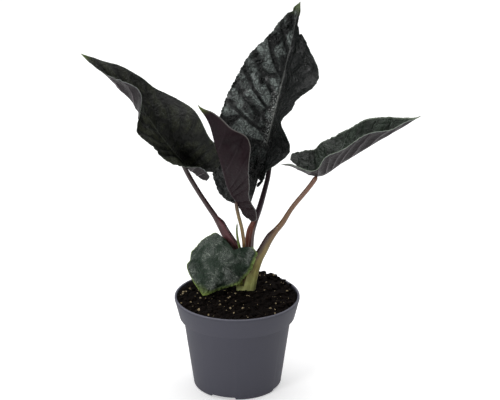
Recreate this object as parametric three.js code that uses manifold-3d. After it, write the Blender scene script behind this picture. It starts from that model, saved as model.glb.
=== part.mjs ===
// A potted alocasia: five blades on their stalks and one young shoot, rising from a short stem base
// that stands in a hole in the soil of a thin-walled nursery pot.
// Millimetres, +Z up. The origin is the centre of the pot's underside, and the plant's front is -Y.
import * as THREE from "three";
import { mergeVertices } from "three/addons/utils/BufferGeometryUtils.js";
import Module from "manifold-3d";

const wasm = await Module();
wasm.setup();

const { Vector2, Vector3 } = THREE;
const rad = THREE.MathUtils.degToRad;

// Room left between two pieces that touch
const GAP = 0.3;

const POT = {
  rimRadius: 60,
  height: 91,
  collarHeight: 21,
  collarFootRadius: 55.5,
  bodyTopRadius: 51.6,
  baseRadius: 42.6,
  edgeRounding: 2,
  ledge: 0.8, // the rounding where the collar stands out from the body
  rimRounding: 3, // the height over which the collar's top edge is rounded
  wall: 1.3,
  lip: 1.9,
  floor: 1.5,
  footHeight: 2.6,
  footWidth: 3.2,
  centreFootRadius: 9,
  notches: 4,
  notchSpan: rad(33),
  notchTurn: rad(-109.5), // the middle of the notch that lies left of the front
  drains: 8,
  drainRadius: 3.5,
  drainCircle: 30,
  sides: 52,
};

const SOIL = {
  edgeHeight: 89.7,
  crown: 1.6, // how far the middle stands above the edge
  lump: 1.1, // how far it is raised and sunk all over
  heap: { x: 20, y: 50, width: 30, height: 4.5 }, // where it is heaped up against the rim, at the back
  rings: 7,
  sides: 40,
  clods: 12,
  clodRadius: [2.2, 4.2],
  clodsFrom: 30, // how far from the pot's middle the clods lie
  clodsTo: 51,
};

const STEM_BASE = {
  centre: [6.6, 17],
  bottom: 70,
  top: 107,
  radius: 9.6,
  topRadius: 6.4,
  ribs: 5,
  ribDepth: 0.14,
  ribTurn: rad(-68),
  sides: 25,
  steps: 6,
  roundFrom: 0.75, // the share of its height from which its top is rounded
};

// Stations along a blade, as shares of the midrib from the stalk's joint (0) to the tip (1),
// at which its fold angles and half widths are given. Negative is in the basal lobes.
const FOLD_AT = [-0.35, -0.15, 0, 0.15, 0.3, 0.45, 0.6, 0.75, 0.9];
const WIDTH_AT = [0, 0.15, 0.3, 0.45, 0.6, 0.75, 0.9, 1];

const BLADE = {
  thickness: 0.8,
  keel: 1, // how far the midrib stands out below, near the joint
  keelStart: 8, // the length behind which it has grown to that
  crease: 6, // the width over which the blade bends up beside its midrib
  neckLines: 2, // cross lines between the joint and the notch
  lobeLines: 5, // and from the notch to the end of a lobe
  columns: [0, 0.16, 0.42, 0.7, 1], // places along a cross line, from the midrib to the edge
  lean: 0.22, // how far a side vein leans to the tip where the blade is widest, as a share of its length
  leanFull: 0.45, // the share of the midrib from which the veins lean in full
  bow: 1.25, // how strongly a side vein bends to the tip on its way out
  wavesApart: 0.13, // how far the wave of the left edge is ahead of the right one, in shares of its length
  fullPuff: 26, // the length of a cross line from which it is puffed up and waved in full
};

// A basal lobe's outer edge from the joint back, as shares of the half width and of the lobe's length, and
// the shoulder before its end, where the lobe's own end counts too
const LOBE_EDGE = [[1, 0], [0.97, 0.3], [0.85, 0.65]];
const SHOULDER = { width: 0.55, out: 0.5, length: 0.92 };

// Each blade: its midrib in space from below the joint to the tip, the way its upper side faces at the
// joint and at the tip, how far behind the joint the notch between its lobes is, the length on each side
// over which the midrib's direction is evened out, its cross lines from joint to tip, of which every second
// one is a side vein, how far it is puffed up between them, the wave of its edge, and for each half the
// fold up from the flat, the half width and the lobe behind the joint.
const LEAVES = {
  tall: {
    rib: [
      [21, 38, 197], [29, 42, 230], [35.7, 50, 256.4], [42.4, 57, 282], [48, 62, 306],
      [53, 66, 327.5], [57, 69, 349], [60.6, 70, 361],
    ],
    faces: [[-0.25, -0.9, 0.3], [-0.1, -0.95, 0.3]],
    sinus: 36,
    smooth: 9,
    lines: 16,
    puff: 1.9,
    wave: { size: 1.6, count: 6 },
    right: {
      fold: [84, 72, 52, 70, 62, 43, 30, 60, 96],
      width: [45, 47, 45, 45, 37, 23, 7],
      lobe: 40,
      lobeOut: 16,
    },
    left: {
      fold: [20, 20, 22, 26, 14, 4, 24, 38, 42],
      width: [51, 51, 47, 42, 35, 24, 11],
      lobe: 67,
      lobeOut: 2,
    },
  },
  left: {
    rib: [
      [-33, 9, 207], [-51, 8, 223], [-70, 4, 248.5], [-83, 0, 270], [-97, -3, 287.6],
      [-115.4, -5, 307.8], [-127, -6, 319.6], [-139.6, -8, 329.4],
    ],
    faces: [[0.5, -0.6, 0.5], [0.5, -0.6, 0.5]],
    sinus: 12,
    smooth: 9,
    lines: 16,
    puff: 1.4,
    wave: { size: 1.4, count: 4 },
    right: {
      fold: [70, 66, 62, 50, 7, -12, 2, -4, -26],
      width: [37, 39, 40, 33, 25, 17, 6],
      lobe: 30,
      lobeOut: 12,
    },
    left: {
      fold: [90, 88, 60, 32, 34, 32, 78, 76, 54],
      width: [24, 29, 34, 35, 30, 20, 7],
      lobe: 29,
      lobeOut: 8,
    },
  },
  young: {
    rib: [
      [10.9, 2, 165], [-0.3, 2, 185.4], [-7.3, 0, 199], [-13.6, -4, 223.7], [-19.4, -8, 246],
      [-25, -11, 267], [-35, -12, 282.5],
    ],
    faces: [[0.8, 0.6, 0], [0.8, 0.6, 0]],
    sinus: 8,
    smooth: 9,
    lines: 14,
    puff: 0.9,
    wave: { size: 0.8, count: 4 },
    right: {
      fold: [50, 55, 60, 65, 65, 65, 65, 65, 65],
      width: [26, 30, 33, 32, 26, 17, 6],
      lobe: 24,
      lobeOut: 10,
    },
    left: {
      fold: [0, 0, 2, 8, 12, 20, 55, 42, 50],
      width: [22, 27, 31, 33, 30, 18, 7],
      lobe: 24,
      lobeOut: 5,
    },
  },
  right: {
    rib: [
      [50, 11, 218], [75.4, 12, 207], [98.8, 14, 220], [116.5, 16, 230.4], [134.2, 18, 240.8],
      [152.3, 20, 250.7], [163.9, 21, 257.8], [172.3, 22, 262],
    ],
    faces: [[-0.45, -0.1, 0.88], [-0.45, -0.1, 0.88]],
    sinus: 8,
    smooth: 18,
    lines: 16,
    puff: 1.2,
    wave: { size: 1.8, count: 3.5 },
    right: {
      fold: [20, 30, 42, 46, 47, 47, 46, 45, 60],
      width: [32, 34, 33, 30, 24, 16, 6],
      lobe: 38,
      lobeOut: 9,
    },
    left: {
      fold: [8, 22, 36, 36, 24, 36, 54, 51, 60],
      width: [30, 33, 33, 29, 25, 17, 6],
      lobe: 28,
      lobeOut: 9,
    },
  },
  low: {
    rib: [
      [0.5, 3.5, 140], [-15, -1, 122.5], [-23.5, -7, 109], [-32.5, -12, 94.8],
    ],
    faces: [[0, -0.9, 0.4], [0, -0.9, 0.4]],
    sinus: 18,
    smooth: 9,
    lines: 8,
    puff: 0.9,
    wave: { size: 0.7, count: 3 },
    right: {
      fold: [-30, -34, -36, -36, -40, -32, -25, -16, 0],
      width: [36, 38, 37, 34, 28, 19, 8],
      lobe: 20,
      lobeOut: 14,
    },
    left: {
      fold: [-26, -30, -32, -30, -32, -40, -45, -50, -50],
      width: [29, 28, 24, 20, 15, 9, 4],
      lobe: 32,
      lobeOut: 12,
    },
  },
};

// Each stalk: its middle line from the stem base up to the blade's joint, radius at foot and top, the side
// that its sheath opens to, the share of its height at which the sheath ends, and how far the wings of the
// sheath stand out, as a share of the radius.
const STALKS = {
  tall: {
    line: [
      [11.4, 21, 96], [12, 22, 120], [13.4, 24, 142], [17, 26, 155.8], [21.9, 29, 169.3],
      [27.2, 35, 186.7], [30, 40, 197], [31.4, 44.5, 208], [30.8, 46.5, 219],
    ],
    radius: [4.6, 2.4],
    inward: [-0.8, -0.6, 0],
    sheathTop: 0.45,
    wing: 0.55,
  },
  left: {
    line: [
      [2.5, 15, 96], [0, 15, 118], [-3.3, 15.5, 131.4], [-7, 16, 138.3], [-11.6, 16, 146.4],
      [-16.4, 15, 156.6], [-21, 13.5, 166.4], [-27, 12.5, 176.1], [-35.6, 12, 190.3],
      [-43.4, 11, 204.5], [-47.6, 11.5, 213],
    ],
    radius: [4.2, 2.3],
    inward: [0.8, 0, 0.6],
    sheathTop: 0.54,
    wing: 1.45,
  },
  young: {
    line: [
      [6.4, 12.5, 98], [6.7, 12, 119.8], [6.7, 9.5, 138.2], [5.8, 8, 147.9], [4.2, 6, 158.4],
      [1.8, 4.5, 168.5], [-0.1, 3.4, 178],
    ],
    radius: [2.0, 1.7],
    inward: [0.5, 0.8, 0],
    sheathTop: 0.3,
    wing: 0.1,
  },
  right: {
    line: [
      [12, 13, 80], [12.6, 13, 92], [16, 12.5, 108], [20.5, 12, 121.8], [25.5, 12, 131.7],
      [30.3, 12, 141.4], [36.4, 12, 151.1], [43.3, 12, 159.9], [52.6, 12, 175.3], [66, 12, 192.6],
      [72, 12, 201],
    ],
    radius: [6, 2.3],
    inward: [-0.8, 0, 0.6],
    sheathTop: 0.56,
    wing: 0.8,
  },
  low: {
    line: [
      [1.6, 10, 97], [-4.9, 7.5, 107], [-10.6, 5, 115],
    ],
    radius: [2.2, 1.7],
    inward: [0, 0.3, 1],
    sheathTop: 0.3,
    wing: 0.2,
  },
};

const STALK = {
  sides: 12,
  steps: 14,
  shoulder: 0.09, // the share of its height over which the sheath ends
  slimFrom: 0.7, // the share of its height from which a stalk is at its slimmest
  wingAt: 0.75, // radians from the middle of the channel to the middle of each wing
  wingWidth: 0.42,
  channelWidth: 0.5,
  channelDepth: 0.55, // as a share of the radius
};

const SHOOT = {
  line: [
    [4, 10.5, 98], [4.2, 10, 114.4], [3.3, 9, 128.2], [2.2, 8, 137.8], [1, 7.5, 143.1],
    [-0.1, 7.2, 152.4], [0.2, 7.2, 162],
  ],
  radius: [1.9, 0.7],
  sides: 10,
  steps: 8,
};

const COLOURS = {
  pot: 0x73737a,
  soil: 0x241d18,
  stemBase: 0xc3cd8a,
  blade: 0x26332e,
  blades: { young: 0x4a3640, low: 0x4d604c },
  stalk: 0x6d4a48,
  shoot: 0x9aa94a,
};

// A number that looks random but is the same for the same seed, from 0 to 1
function chance(seed) {
  const wild = Math.sin(seed * 127.1 + 311.7) * 43758.5453;
  return wild - Math.floor(wild);
}

function material(colour, roughness) {
  return new THREE.MeshStandardMaterial({ color: colour, roughness, metalness: 0 });
}

function meshOf(name, geometry, colour, roughness) {
  geometry.computeVertexNormals();
  const mesh = new THREE.Mesh(geometry, material(colour, roughness));
  mesh.name = name;
  return mesh;
}

function geometryOf(points, triangles) {
  const geometry = new THREE.BufferGeometry();
  geometry.setAttribute("position", new THREE.Float32BufferAttribute(points.flatMap((p) => p.toArray()), 3));
  geometry.setIndex(triangles.flat());
  return geometry;
}

// A closed geometry as a solid that can be joined and cut
function solidOf(geometry) {
  const bare = geometry.clone();
  bare.deleteAttribute("normal");
  bare.deleteAttribute("uv");
  const merged = mergeVertices(bare, 1e-4);
  return new wasm.Manifold(
    new wasm.Mesh({
      numProp: 3,
      vertProperties: new Float32Array(merged.attributes.position.array),
      triVerts: new Uint32Array(merged.index.array),
    }),
  );
}

function geometryFrom(solid) {
  const mesh = solid.getMesh();
  const geometry = new THREE.BufferGeometry();
  geometry.setAttribute("position", new THREE.BufferAttribute(mesh.vertProperties, 3));
  geometry.setIndex(new THREE.BufferAttribute(mesh.triVerts, 1));
  return geometry;
}

// The largest of a solid's separate bodies: what a cut leaves loose is dropped
function largest(solid) {
  return solid.decompose().sort((a, b) => b.volume() - a.volume())[0];
}

// The value at x on a smooth line through (xs, ys)
function between(xs, ys, x) {
  const at = Math.min(Math.max(x, xs[0]), xs[xs.length - 1]);
  let i = xs.length - 2;
  while (i > 0 && xs[i] > at) i--;
  const t = (at - xs[i]) / (xs[i + 1] - xs[i]);
  const y = (k) => ys[Math.min(Math.max(k, 0), ys.length - 1)];
  const [a, b, c, d] = [y(i - 1), y(i), y(i + 1), y(i + 2)];
  const steady = 2 * b + (c - a) * t;
  return 0.5 * (steady + (2 * a - 5 * b + 4 * c - d) * t ** 2 + (3 * b - a - 3 * c + d) * t ** 3);
}

// How far a strip of the given length reaches out and up while it turns evenly from one angle to another
function bentStrip(length, from, to) {
  const turn = to - from;
  if (Math.abs(turn) < 1e-6) return [length * Math.cos(from), length * Math.sin(from)];
  const reach = length / turn;
  return [(Math.sin(to) - Math.sin(from)) * reach, (Math.cos(from) - Math.cos(to)) * reach];
}

// A blade's midrib, measured along its length: 0 at the stalk's joint, below 0 behind it
class Midrib {
  constructor({ rib: points, faces, smooth }) {
    const steps = 20;
    const path = points.map((p) => new Vector3(...p));
    this.curve = new THREE.CatmullRomCurve3(path, false, "catmullrom", 0.5);
    this.curve.arcLengthDivisions = steps * (points.length - 1);
    this.behind = this.curve.getLengths()[steps];
    this.whole = this.curve.getLength();
    this.length = this.whole - this.behind;
    this.faces = faces.map((f) => new Vector3(...f));
    this.smooth = smooth;
  }

  at(y) {
    const share = THREE.MathUtils.clamp((y + this.behind) / this.whole, 0, 1);
    return this.curve.getPointAt(share);
  }

  // The place, the way that the upper side faces and the way to the right
  frame(y) {
    const half = this.smooth;
    const low = THREE.MathUtils.clamp(y - half, -this.behind, this.length - 2 * half);
    const start = this.at(low);
    const along = this.at(low + 2 * half).sub(start).normalize();
    const inside = THREE.MathUtils.clamp(y, -this.behind, this.length);
    const place = this.at(inside).addScaledVector(along, y - inside);
    const share = THREE.MathUtils.clamp(y / this.length, 0, 1);
    const up = this.faces[0].clone().lerp(this.faces[1], share);
    up.addScaledVector(along, -up.dot(along)).normalize();
    return { place, up, right: along.cross(up) };
  }
}

// A curve through points of the flat blade: x out from the midrib, y along it
function flatCurve(...points) {
  return new THREE.SplineCurve(points.map((p) => new Vector2(...p)));
}

function widthAt(half, share) {
  return between(WIDTH_AT, [...half.width, 0], share);
}

function spanAt(leaf, share) {
  return widthAt(leaf.right, share) + widthAt(leaf.left, share);
}

// The cross lines of one half, from the end of its basal lobe round to the tip: each is a list of points
// in the flat blade, from the midrib, or behind the notch from the lobe's inner edge, out to the edge.
function crossLines(leaf, half, length) {
  const lines = [];
  const add = (root, end, vein, bow) => {
    const reach = root.distanceTo(end);
    const points = BLADE.columns.map((share) => {
      const x = THREE.MathUtils.lerp(root.x, end.x, share);
      return { x, y: THREE.MathUtils.lerp(root.y, end.y, share ** bow), share, reach };
    });
    lines.push({ points, vein });
  };
  const [w, lobe, out] = [half.width[0], half.lobe, half.lobeOut];
  const edge = LOBE_EDGE.map(([x, y]) => [x * w, -y * lobe]);
  const shoulder = [SHOULDER.width * w + SHOULDER.out * out, -SHOULDER.length * lobe];
  const outer = flatCurve(...edge, shoulder, [out, -lobe]);
  const inner = flatCurve([0, -leaf.sinus], [0.35 * out, -0.5 * (lobe + leaf.sinus)], [out, -lobe]);
  const behind = BLADE.neckLines + BLADE.lobeLines;
  for (let k = behind; k > 0; k--) {
    const neck = k / BLADE.neckLines;
    const past = (k - BLADE.neckLines) / BLADE.lobeLines;
    const root = neck <= 1 ? new Vector2(0, -leaf.sinus * neck) : inner.getPoint(past);
    add(root, outer.getPoint(k / behind), k % 2 === 0, 1);
  }
  for (let i = 0; i <= leaf.lines; i++) {
    const end = i / leaf.lines;
    const lean = BLADE.lean * Math.min(1, end / BLADE.leanFull) * (spanAt(leaf, end) / spanAt(leaf, 0));
    const root = new Vector2(0, (end - lean) * length);
    add(root, new Vector2(widthAt(half, end), end * length), i % 2 === 0, BLADE.bow);
  }
  return lines;
}

// How far the midrib stands out below
function keelAt(y, length) {
  const start = THREE.MathUtils.smoothstep(y, 0, BLADE.keelStart);
  return BLADE.keel * start * Math.max(0, 1 - y / length) ** 0.6;
}

// A thin blade as one closed body: the flat outline is folded up beside its midrib, puffed up between
// the side veins, waved along the edge, and given a thickness with the midrib standing out below.
function bladeGeometry(leaf, grow = 0) {
  const midrib = new Midrib(leaf);
  const middle = [];
  const ridge = [];
  const known = new Map();
  const faces = [];

  function vertex(side, half, flat, vein, phase) {
    const onRib = flat.x < 1e-6;
    const key = onRib ? `rib ${flat.y.toFixed(4)}` : `${side} ${flat.x.toFixed(4)} ${flat.y.toFixed(4)}`;
    if (known.has(key)) return known.get(key);
    const { place, up, right } = midrib.frame(flat.y);
    const fold = rad(between(FOLD_AT, half.fold, flat.y / midrib.length));
    const inner = Math.min(flat.x, BLADE.crease);
    const angle = (fold * inner) / BLADE.crease;
    const [out1, rise1] = bentStrip(inner, 0, angle);
    const [out2, rise2] = bentStrip(flat.x - inner, angle, angle);
    const puff = vein ? 0 : leaf.puff * Math.sin(Math.PI * flat.share);
    const wave = leaf.wave.size * flat.share ** 2 * Math.sin(2 * Math.PI * leaf.wave.count * phase);
    const lift = (puff + wave) * Math.min(1, flat.reach / BLADE.fullPuff);
    place.addScaledVector(right, side * (out1 + out2 - lift * Math.sin(angle)));
    place.addScaledVector(up, rise1 + rise2 + lift * Math.cos(angle));
    middle.push(place);
    ridge.push(onRib ? keelAt(flat.y, midrib.length) : 0);
    known.set(key, middle.length - 1);
    return middle.length - 1;
  }

  const edges = [];
  const last = BLADE.columns.length - 1;
  for (const [side, half] of [[1, leaf.right], [-1, leaf.left]]) {
    const lines = crossLines(leaf, half, midrib.length);
    const rows = lines.map((line, n) => {
      const phase = n / lines.length + (side > 0 ? 0 : BLADE.wavesApart);
      return line.points.map((flat) => vertex(side, half, flat, line.vein, phase));
    });
    for (let n = 0; n + 1 < rows.length; n++) {
      for (let j = 0; j < last; j++) {
        const [a, b, c, d] = [rows[n][j], rows[n][j + 1], rows[n + 1][j + 1], rows[n + 1][j]];
        const pair = side > 0 ? [[a, b, c], [a, c, d]] : [[a, c, b], [a, d, c]];
        faces.push(...pair.filter((f) => new Set(f).size === 3));
      }
    }
    const notch = rows.slice(1, BLADE.lobeLines).map((row) => row[0]);
    edges.push([rows[BLADE.lobeLines][0], ...notch.reverse(), ...rows.map((row) => row[last])]);
  }

  const normals = middle.map(() => new Vector3());
  for (const [a, b, c] of faces) {
    const ab = middle[b].clone().sub(middle[a]);
    const normal = ab.cross(middle[c].clone().sub(middle[a]));
    for (const v of [a, b, c]) normals[v].add(normal);
  }
  normals.forEach((n) => n.normalize());

  const count = middle.length;
  const half = BLADE.thickness / 2 + grow;
  const top = middle.map((p, v) => p.clone().addScaledVector(normals[v], half));
  const bottom = middle.map((p, v) => p.clone().addScaledVector(normals[v], -half - ridge[v]));
  const skin = [...faces, ...faces.map(([a, b, c]) => [a + count, c + count, b + count])];
  const loop = [...edges[1], ...edges[0].reverse().slice(1, -1)];
  loop.forEach((v, k) => {
    const next = loop[(k + 1) % loop.length];
    skin.push([v, next, next + count], [v, next + count, v + count]);
  });
  return geometryOf([...top, ...bottom], skin);
}

// A solid swept along a line, its outline given by outline(share, angle) as a radius round the middle.
// Angle 0 looks the way of inward.
function sweptGeometry(line, inward, sides, steps, outline) {
  const curve = new THREE.CatmullRomCurve3(line, false, "catmullrom", 0.5);
  const points = [];
  const faces = [];
  for (let i = 0; i <= steps; i++) {
    const share = i / steps;
    const centre = curve.getPointAt(share);
    const along = curve.getTangentAt(share);
    const front = inward.clone().addScaledVector(along, -inward.dot(along)).normalize();
    const beside = along.clone().cross(front);
    for (let k = 0; k < sides; k++) {
      const angle = (2 * Math.PI * k) / sides;
      const r = outline(share, angle);
      const p = centre.clone().addScaledVector(front, r * Math.cos(angle));
      points.push(p.addScaledVector(beside, r * Math.sin(angle)));
    }
  }
  const foot = points.push(curve.getPointAt(0)) - 1;
  const head = points.push(curve.getPointAt(1)) - 1;
  for (let k = 0; k < sides; k++) {
    const next = (k + 1) % sides;
    for (let i = 0; i < steps; i++) {
      const [a, b] = [i * sides + k, i * sides + next];
      faces.push([a, b, b + sides], [a, b + sides, a + sides]);
    }
    faces.push([foot, next, k], [head, steps * sides + k, steps * sides + next]);
  }
  return geometryOf(points, faces);
}

// A bump of height 1 that falls off on both sides of 0 over about the given width
function bump(x, width) {
  return Math.exp(-((x / width) ** 2));
}

// A stalk: round above, and below its sheath's shoulder a channel with a wing on each side
function stalkGeometry(stalk, end, grow = 0) {
  const line = [...stalk.line.map((p) => new Vector3(...p)), end];
  const [foot, top] = stalk.radius;
  const { sides, steps, shoulder, slimFrom, wingAt, wingWidth, channelWidth, channelDepth } = STALK;
  return sweptGeometry(line, new Vector3(...stalk.inward), sides, steps, (share, angle) => {
    const radius = THREE.MathUtils.lerp(foot, top, Math.min(1, share / slimFrom) ** 0.8);
    const sheath = 1 - THREE.MathUtils.smoothstep(share, stalk.sheathTop - shoulder, stalk.sheathTop);
    const turn = Math.min(angle, 2 * Math.PI - angle);
    const wing = stalk.wing * sheath * bump(turn - wingAt, wingWidth);
    const channel = channelDepth * Math.min(1, 2 * stalk.wing) * sheath * bump(turn, channelWidth);
    return radius * (1 + wing - channel) + grow;
  });
}

// The end of a stalk inside its blade's midrib: the blade's own shape then cuts it to fit
function jointOf(leaf) {
  const { place, up } = new Midrib(leaf).frame(0);
  return place.addScaledVector(up, -BLADE.thickness);
}

function potProfile() {
  const { height, wall, lip, ledge, footHeight, edgeRounding } = POT;
  const collarFoot = height - POT.collarHeight;
  const footInside = POT.baseRadius - POT.footWidth - edgeRounding;
  const outside = [
    [POT.baseRadius - edgeRounding, 0],
    [POT.baseRadius - 0.4 * edgeRounding, 0.4 * edgeRounding],
    [POT.baseRadius, 1.4 * edgeRounding],
    [POT.bodyTopRadius, collarFoot - 1.5 * ledge],
    [POT.bodyTopRadius + 0.6 * ledge, collarFoot - 0.25 * ledge],
    [POT.collarFootRadius - ledge, collarFoot],
    [POT.collarFootRadius, collarFoot + ledge],
    [POT.rimRadius - 0.1 * lip, height - POT.rimRounding],
    [POT.rimRadius, height - 0.3 * POT.rimRounding],
    [POT.rimRadius - 0.15 * lip, height],
  ];
  const inside = [
    [POT.rimRadius - lip, height],
    [POT.rimRadius - 1.1 * lip, height - 0.4 * POT.rimRounding],
    [POT.collarFootRadius - wall, collarFoot + 1.5 * wall],
    [POT.bodyTopRadius - wall, collarFoot - wall],
    [POT.baseRadius - wall, footHeight + POT.floor],
  ];
  const underside = [
    [POT.centreFootRadius, 0],
    [POT.centreFootRadius + 0.4 * footHeight, footHeight],
    [footInside - 0.15 * footHeight, footHeight],
    [footInside, 0],
  ];
  const profile = [[0, 0], ...underside, ...outside, ...inside, [0, footHeight + POT.floor]];
  return profile.map((p) => new Vector2(...p));
}

// The pot: a turned shell, with notches cut through its foot ring and round drain holes in its floor
function potGeometry() {
  const shell = new THREE.LatheGeometry(potProfile(), POT.sides).rotateX(Math.PI / 2);
  let pot = solidOf(shell);
  const past = POT.footWidth; // how far a cutter reaches past the foot ring's faces
  const outer = POT.baseRadius + past;
  const inner = POT.baseRadius - POT.footWidth - POT.edgeRounding - past;
  for (let k = 0; k < POT.notches; k++) {
    const middle = POT.notchTurn + (2 * Math.PI * k) / POT.notches;
    const sector = new THREE.Shape();
    sector.absarc(0, 0, outer, middle - POT.notchSpan / 2, middle + POT.notchSpan / 2, false);
    sector.absarc(0, 0, inner, middle + POT.notchSpan / 2, middle - POT.notchSpan / 2, true);
    const depth = POT.footHeight + past;
    const notch = new THREE.ExtrudeGeometry(sector, { depth, bevelEnabled: false, curveSegments: 8 });
    pot = pot.subtract(solidOf(notch.translate(0, 0, -past)));
  }
  for (let k = 0; k < POT.drains; k++) {
    const turn = POT.notchTurn + (2 * Math.PI * (k + 0.5)) / POT.drains;
    const drain = new THREE.CylinderGeometry(POT.drainRadius, POT.drainRadius, 4 * POT.floor, 14);
    drain.rotateX(Math.PI / 2).translate(POT.drainCircle, 0, POT.footHeight + POT.floor / 2).rotateZ(turn);
    pot = pot.subtract(solidOf(drain));
  }
  return geometryFrom(pot);
}

// How high the soil stands at a place in the pot
function soilHeight(x, y) {
  const far = Math.hypot(x, y) / POT.rimRadius;
  const rough = Math.sin(0.31 * x + 1.3) * Math.cos(0.27 * y) + 0.7 * Math.sin(0.63 * x - 0.52 * y + 0.6);
  const { x: heapX, y: heapY, width, height } = SOIL.heap;
  const heap = height * Math.exp(-((x - heapX) ** 2 + (y - heapY) ** 2) / width ** 2);
  return SOIL.edgeHeight + SOIL.crown * (1 - far ** 2) + SOIL.lump * rough * (1 - 0.5 * far ** 4) + heap;
}

// The soil fills the pot. Its top is uneven, with clods sunk into it, and it has a hole for the stem base.
function soilGeometry(standing) {
  const collarFoot = POT.height - POT.collarHeight;
  const clear = POT.wall + 1.5 * GAP;
  const floor = POT.footHeight + POT.floor + GAP;
  const rimInside = POT.rimRadius - POT.lip - 3 * GAP;
  const side = [
    [POT.baseRadius - clear, floor],
    [POT.bodyTopRadius - clear, collarFoot - POT.wall - GAP],
    [POT.collarFootRadius - clear, collarFoot + 1.5 * POT.wall + GAP],
  ];
  const points = [];
  const faces = [];
  const rings = side.length + SOIL.rings;
  for (let i = 0; i < rings; i++) {
    for (let k = 0; k < SOIL.sides; k++) {
      const turn = (2 * Math.PI * k) / SOIL.sides;
      const onTop = i - side.length;
      const radius = onTop < 0 ? side[i][0] : rimInside * (1 - onTop / SOIL.rings) ** 0.85;
      const [x, y] = [radius * Math.cos(turn), radius * Math.sin(turn)];
      points.push(new Vector3(x, y, onTop < 0 ? side[i][1] : soilHeight(x, y)));
    }
  }
  const below = points.push(new Vector3(0, 0, floor)) - 1;
  const above = points.push(new Vector3(0, 0, soilHeight(0, 0))) - 1;
  for (let k = 0; k < SOIL.sides; k++) {
    const next = (k + 1) % SOIL.sides;
    for (let i = 0; i + 1 < rings; i++) {
      const [a, b] = [i * SOIL.sides + k, i * SOIL.sides + next];
      faces.push([a, b, b + SOIL.sides], [a, b + SOIL.sides, a + SOIL.sides]);
    }
    const last = (rings - 1) * SOIL.sides;
    faces.push([below, next, k], [above, last + k, last + next]);
  }
  let soil = solidOf(geometryOf(points, faces));
  for (let n = 0; n < SOIL.clods; n++) {
    const turn = 2 * Math.PI * (n / SOIL.clods + 0.03 * chance(n));
    const far = THREE.MathUtils.lerp(SOIL.clodsFrom, SOIL.clodsTo, chance(n + 40));
    const radius = THREE.MathUtils.lerp(...SOIL.clodRadius, chance(n + 80));
    const [x, y] = [far * Math.cos(turn), far * Math.sin(turn)];
    const clod = new THREE.IcosahedronGeometry(radius, 0).scale(1, 0.8, 0.7).rotateZ(turn * 2);
    soil = soil.add(solidOf(clod.translate(x, y, soilHeight(x, y) + 0.1 * radius)));
  }
  return geometryFrom(largest(soil.subtract(standing)));
}

// The stem base: a short ribbed column of old leaf feet, rounded at the top
function stemBaseGeometry(grow = 0) {
  const [x, y] = STEM_BASE.centre;
  const line = [new Vector3(x, y, STEM_BASE.bottom - grow), new Vector3(x, y, STEM_BASE.top)];
  const { sides, steps, roundFrom } = STEM_BASE;
  return sweptGeometry(line, new Vector3(1, 0, 0), sides, steps, (share, angle) => {
    const rounded = Math.sqrt(Math.max(0, 1 - THREE.MathUtils.smoothstep(share, roundFrom, 1.02)));
    const radius = THREE.MathUtils.lerp(STEM_BASE.radius, STEM_BASE.topRadius, share) * rounded;
    const ribs = STEM_BASE.ribDepth * Math.cos(STEM_BASE.ribs * (angle - STEM_BASE.ribTurn));
    return radius * (1 + ribs) + grow;
  });
}

const plant = new THREE.Group();

for (const [name, leaf] of Object.entries(LEAVES)) {
  const colour = COLOURS.blades[name] ?? COLOURS.blade;
  plant.add(meshOf(`leaf_blade_${name}`, bladeGeometry(leaf), colour, 0.35));
}

// A stalk is cut to fit under its blade, and where two would run into each other the later one gives way
let taken = null;
for (const [name, stalk] of Object.entries(STALKS)) {
  const leaf = LEAVES[name];
  let whole = solidOf(stalkGeometry(stalk, jointOf(leaf))).subtract(solidOf(bladeGeometry(leaf, GAP)));
  if (taken) whole = whole.subtract(taken);
  plant.add(meshOf(`leaf_stalk_${name}`, geometryFrom(largest(whole)), COLOURS.stalk, 0.45));
  const room = solidOf(stalkGeometry(stalk, jointOf(leaf), GAP));
  taken = taken ? taken.add(room) : room;
}

const shootLine = SHOOT.line.map((p) => new Vector3(...p));
const shootShape = (grow) =>
  sweptGeometry(shootLine, new Vector3(0, -1, 0), SHOOT.sides, SHOOT.steps, (share) => {
    const radius = THREE.MathUtils.lerp(...SHOOT.radius, share ** 1.5);
    return radius + grow;
  });
const shoot = largest(solidOf(shootShape(0)).subtract(taken));
plant.add(meshOf("young_shoot", geometryFrom(shoot), COLOURS.shoot, 0.45));
taken = taken.add(solidOf(shootShape(GAP)));

const stemBase = largest(solidOf(stemBaseGeometry()).subtract(taken));
plant.add(meshOf("stem_base", geometryFrom(stemBase), COLOURS.stemBase, 0.45));

const pot = meshOf("pot", potGeometry(), COLOURS.pot, 0.5);
const standing = taken.add(solidOf(stemBaseGeometry(GAP)));
const soil = meshOf("soil", soilGeometry(standing), COLOURS.soil, 0.95);

const pottedPlant = new THREE.Group();
pottedPlant.add(pot, soil, plant);

export default pottedPlant;
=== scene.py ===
# %% [markdown]
# # A young alocasia in its nursery pot
#
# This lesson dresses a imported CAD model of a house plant, so that it looks like the real one. The CAD model
# gives every piece its place and size. Each piece is then made again here, with the fine shape that a leaf,
# a stalk or a crumb of soil has, and gets a finish that starts from what it is made of.

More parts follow.
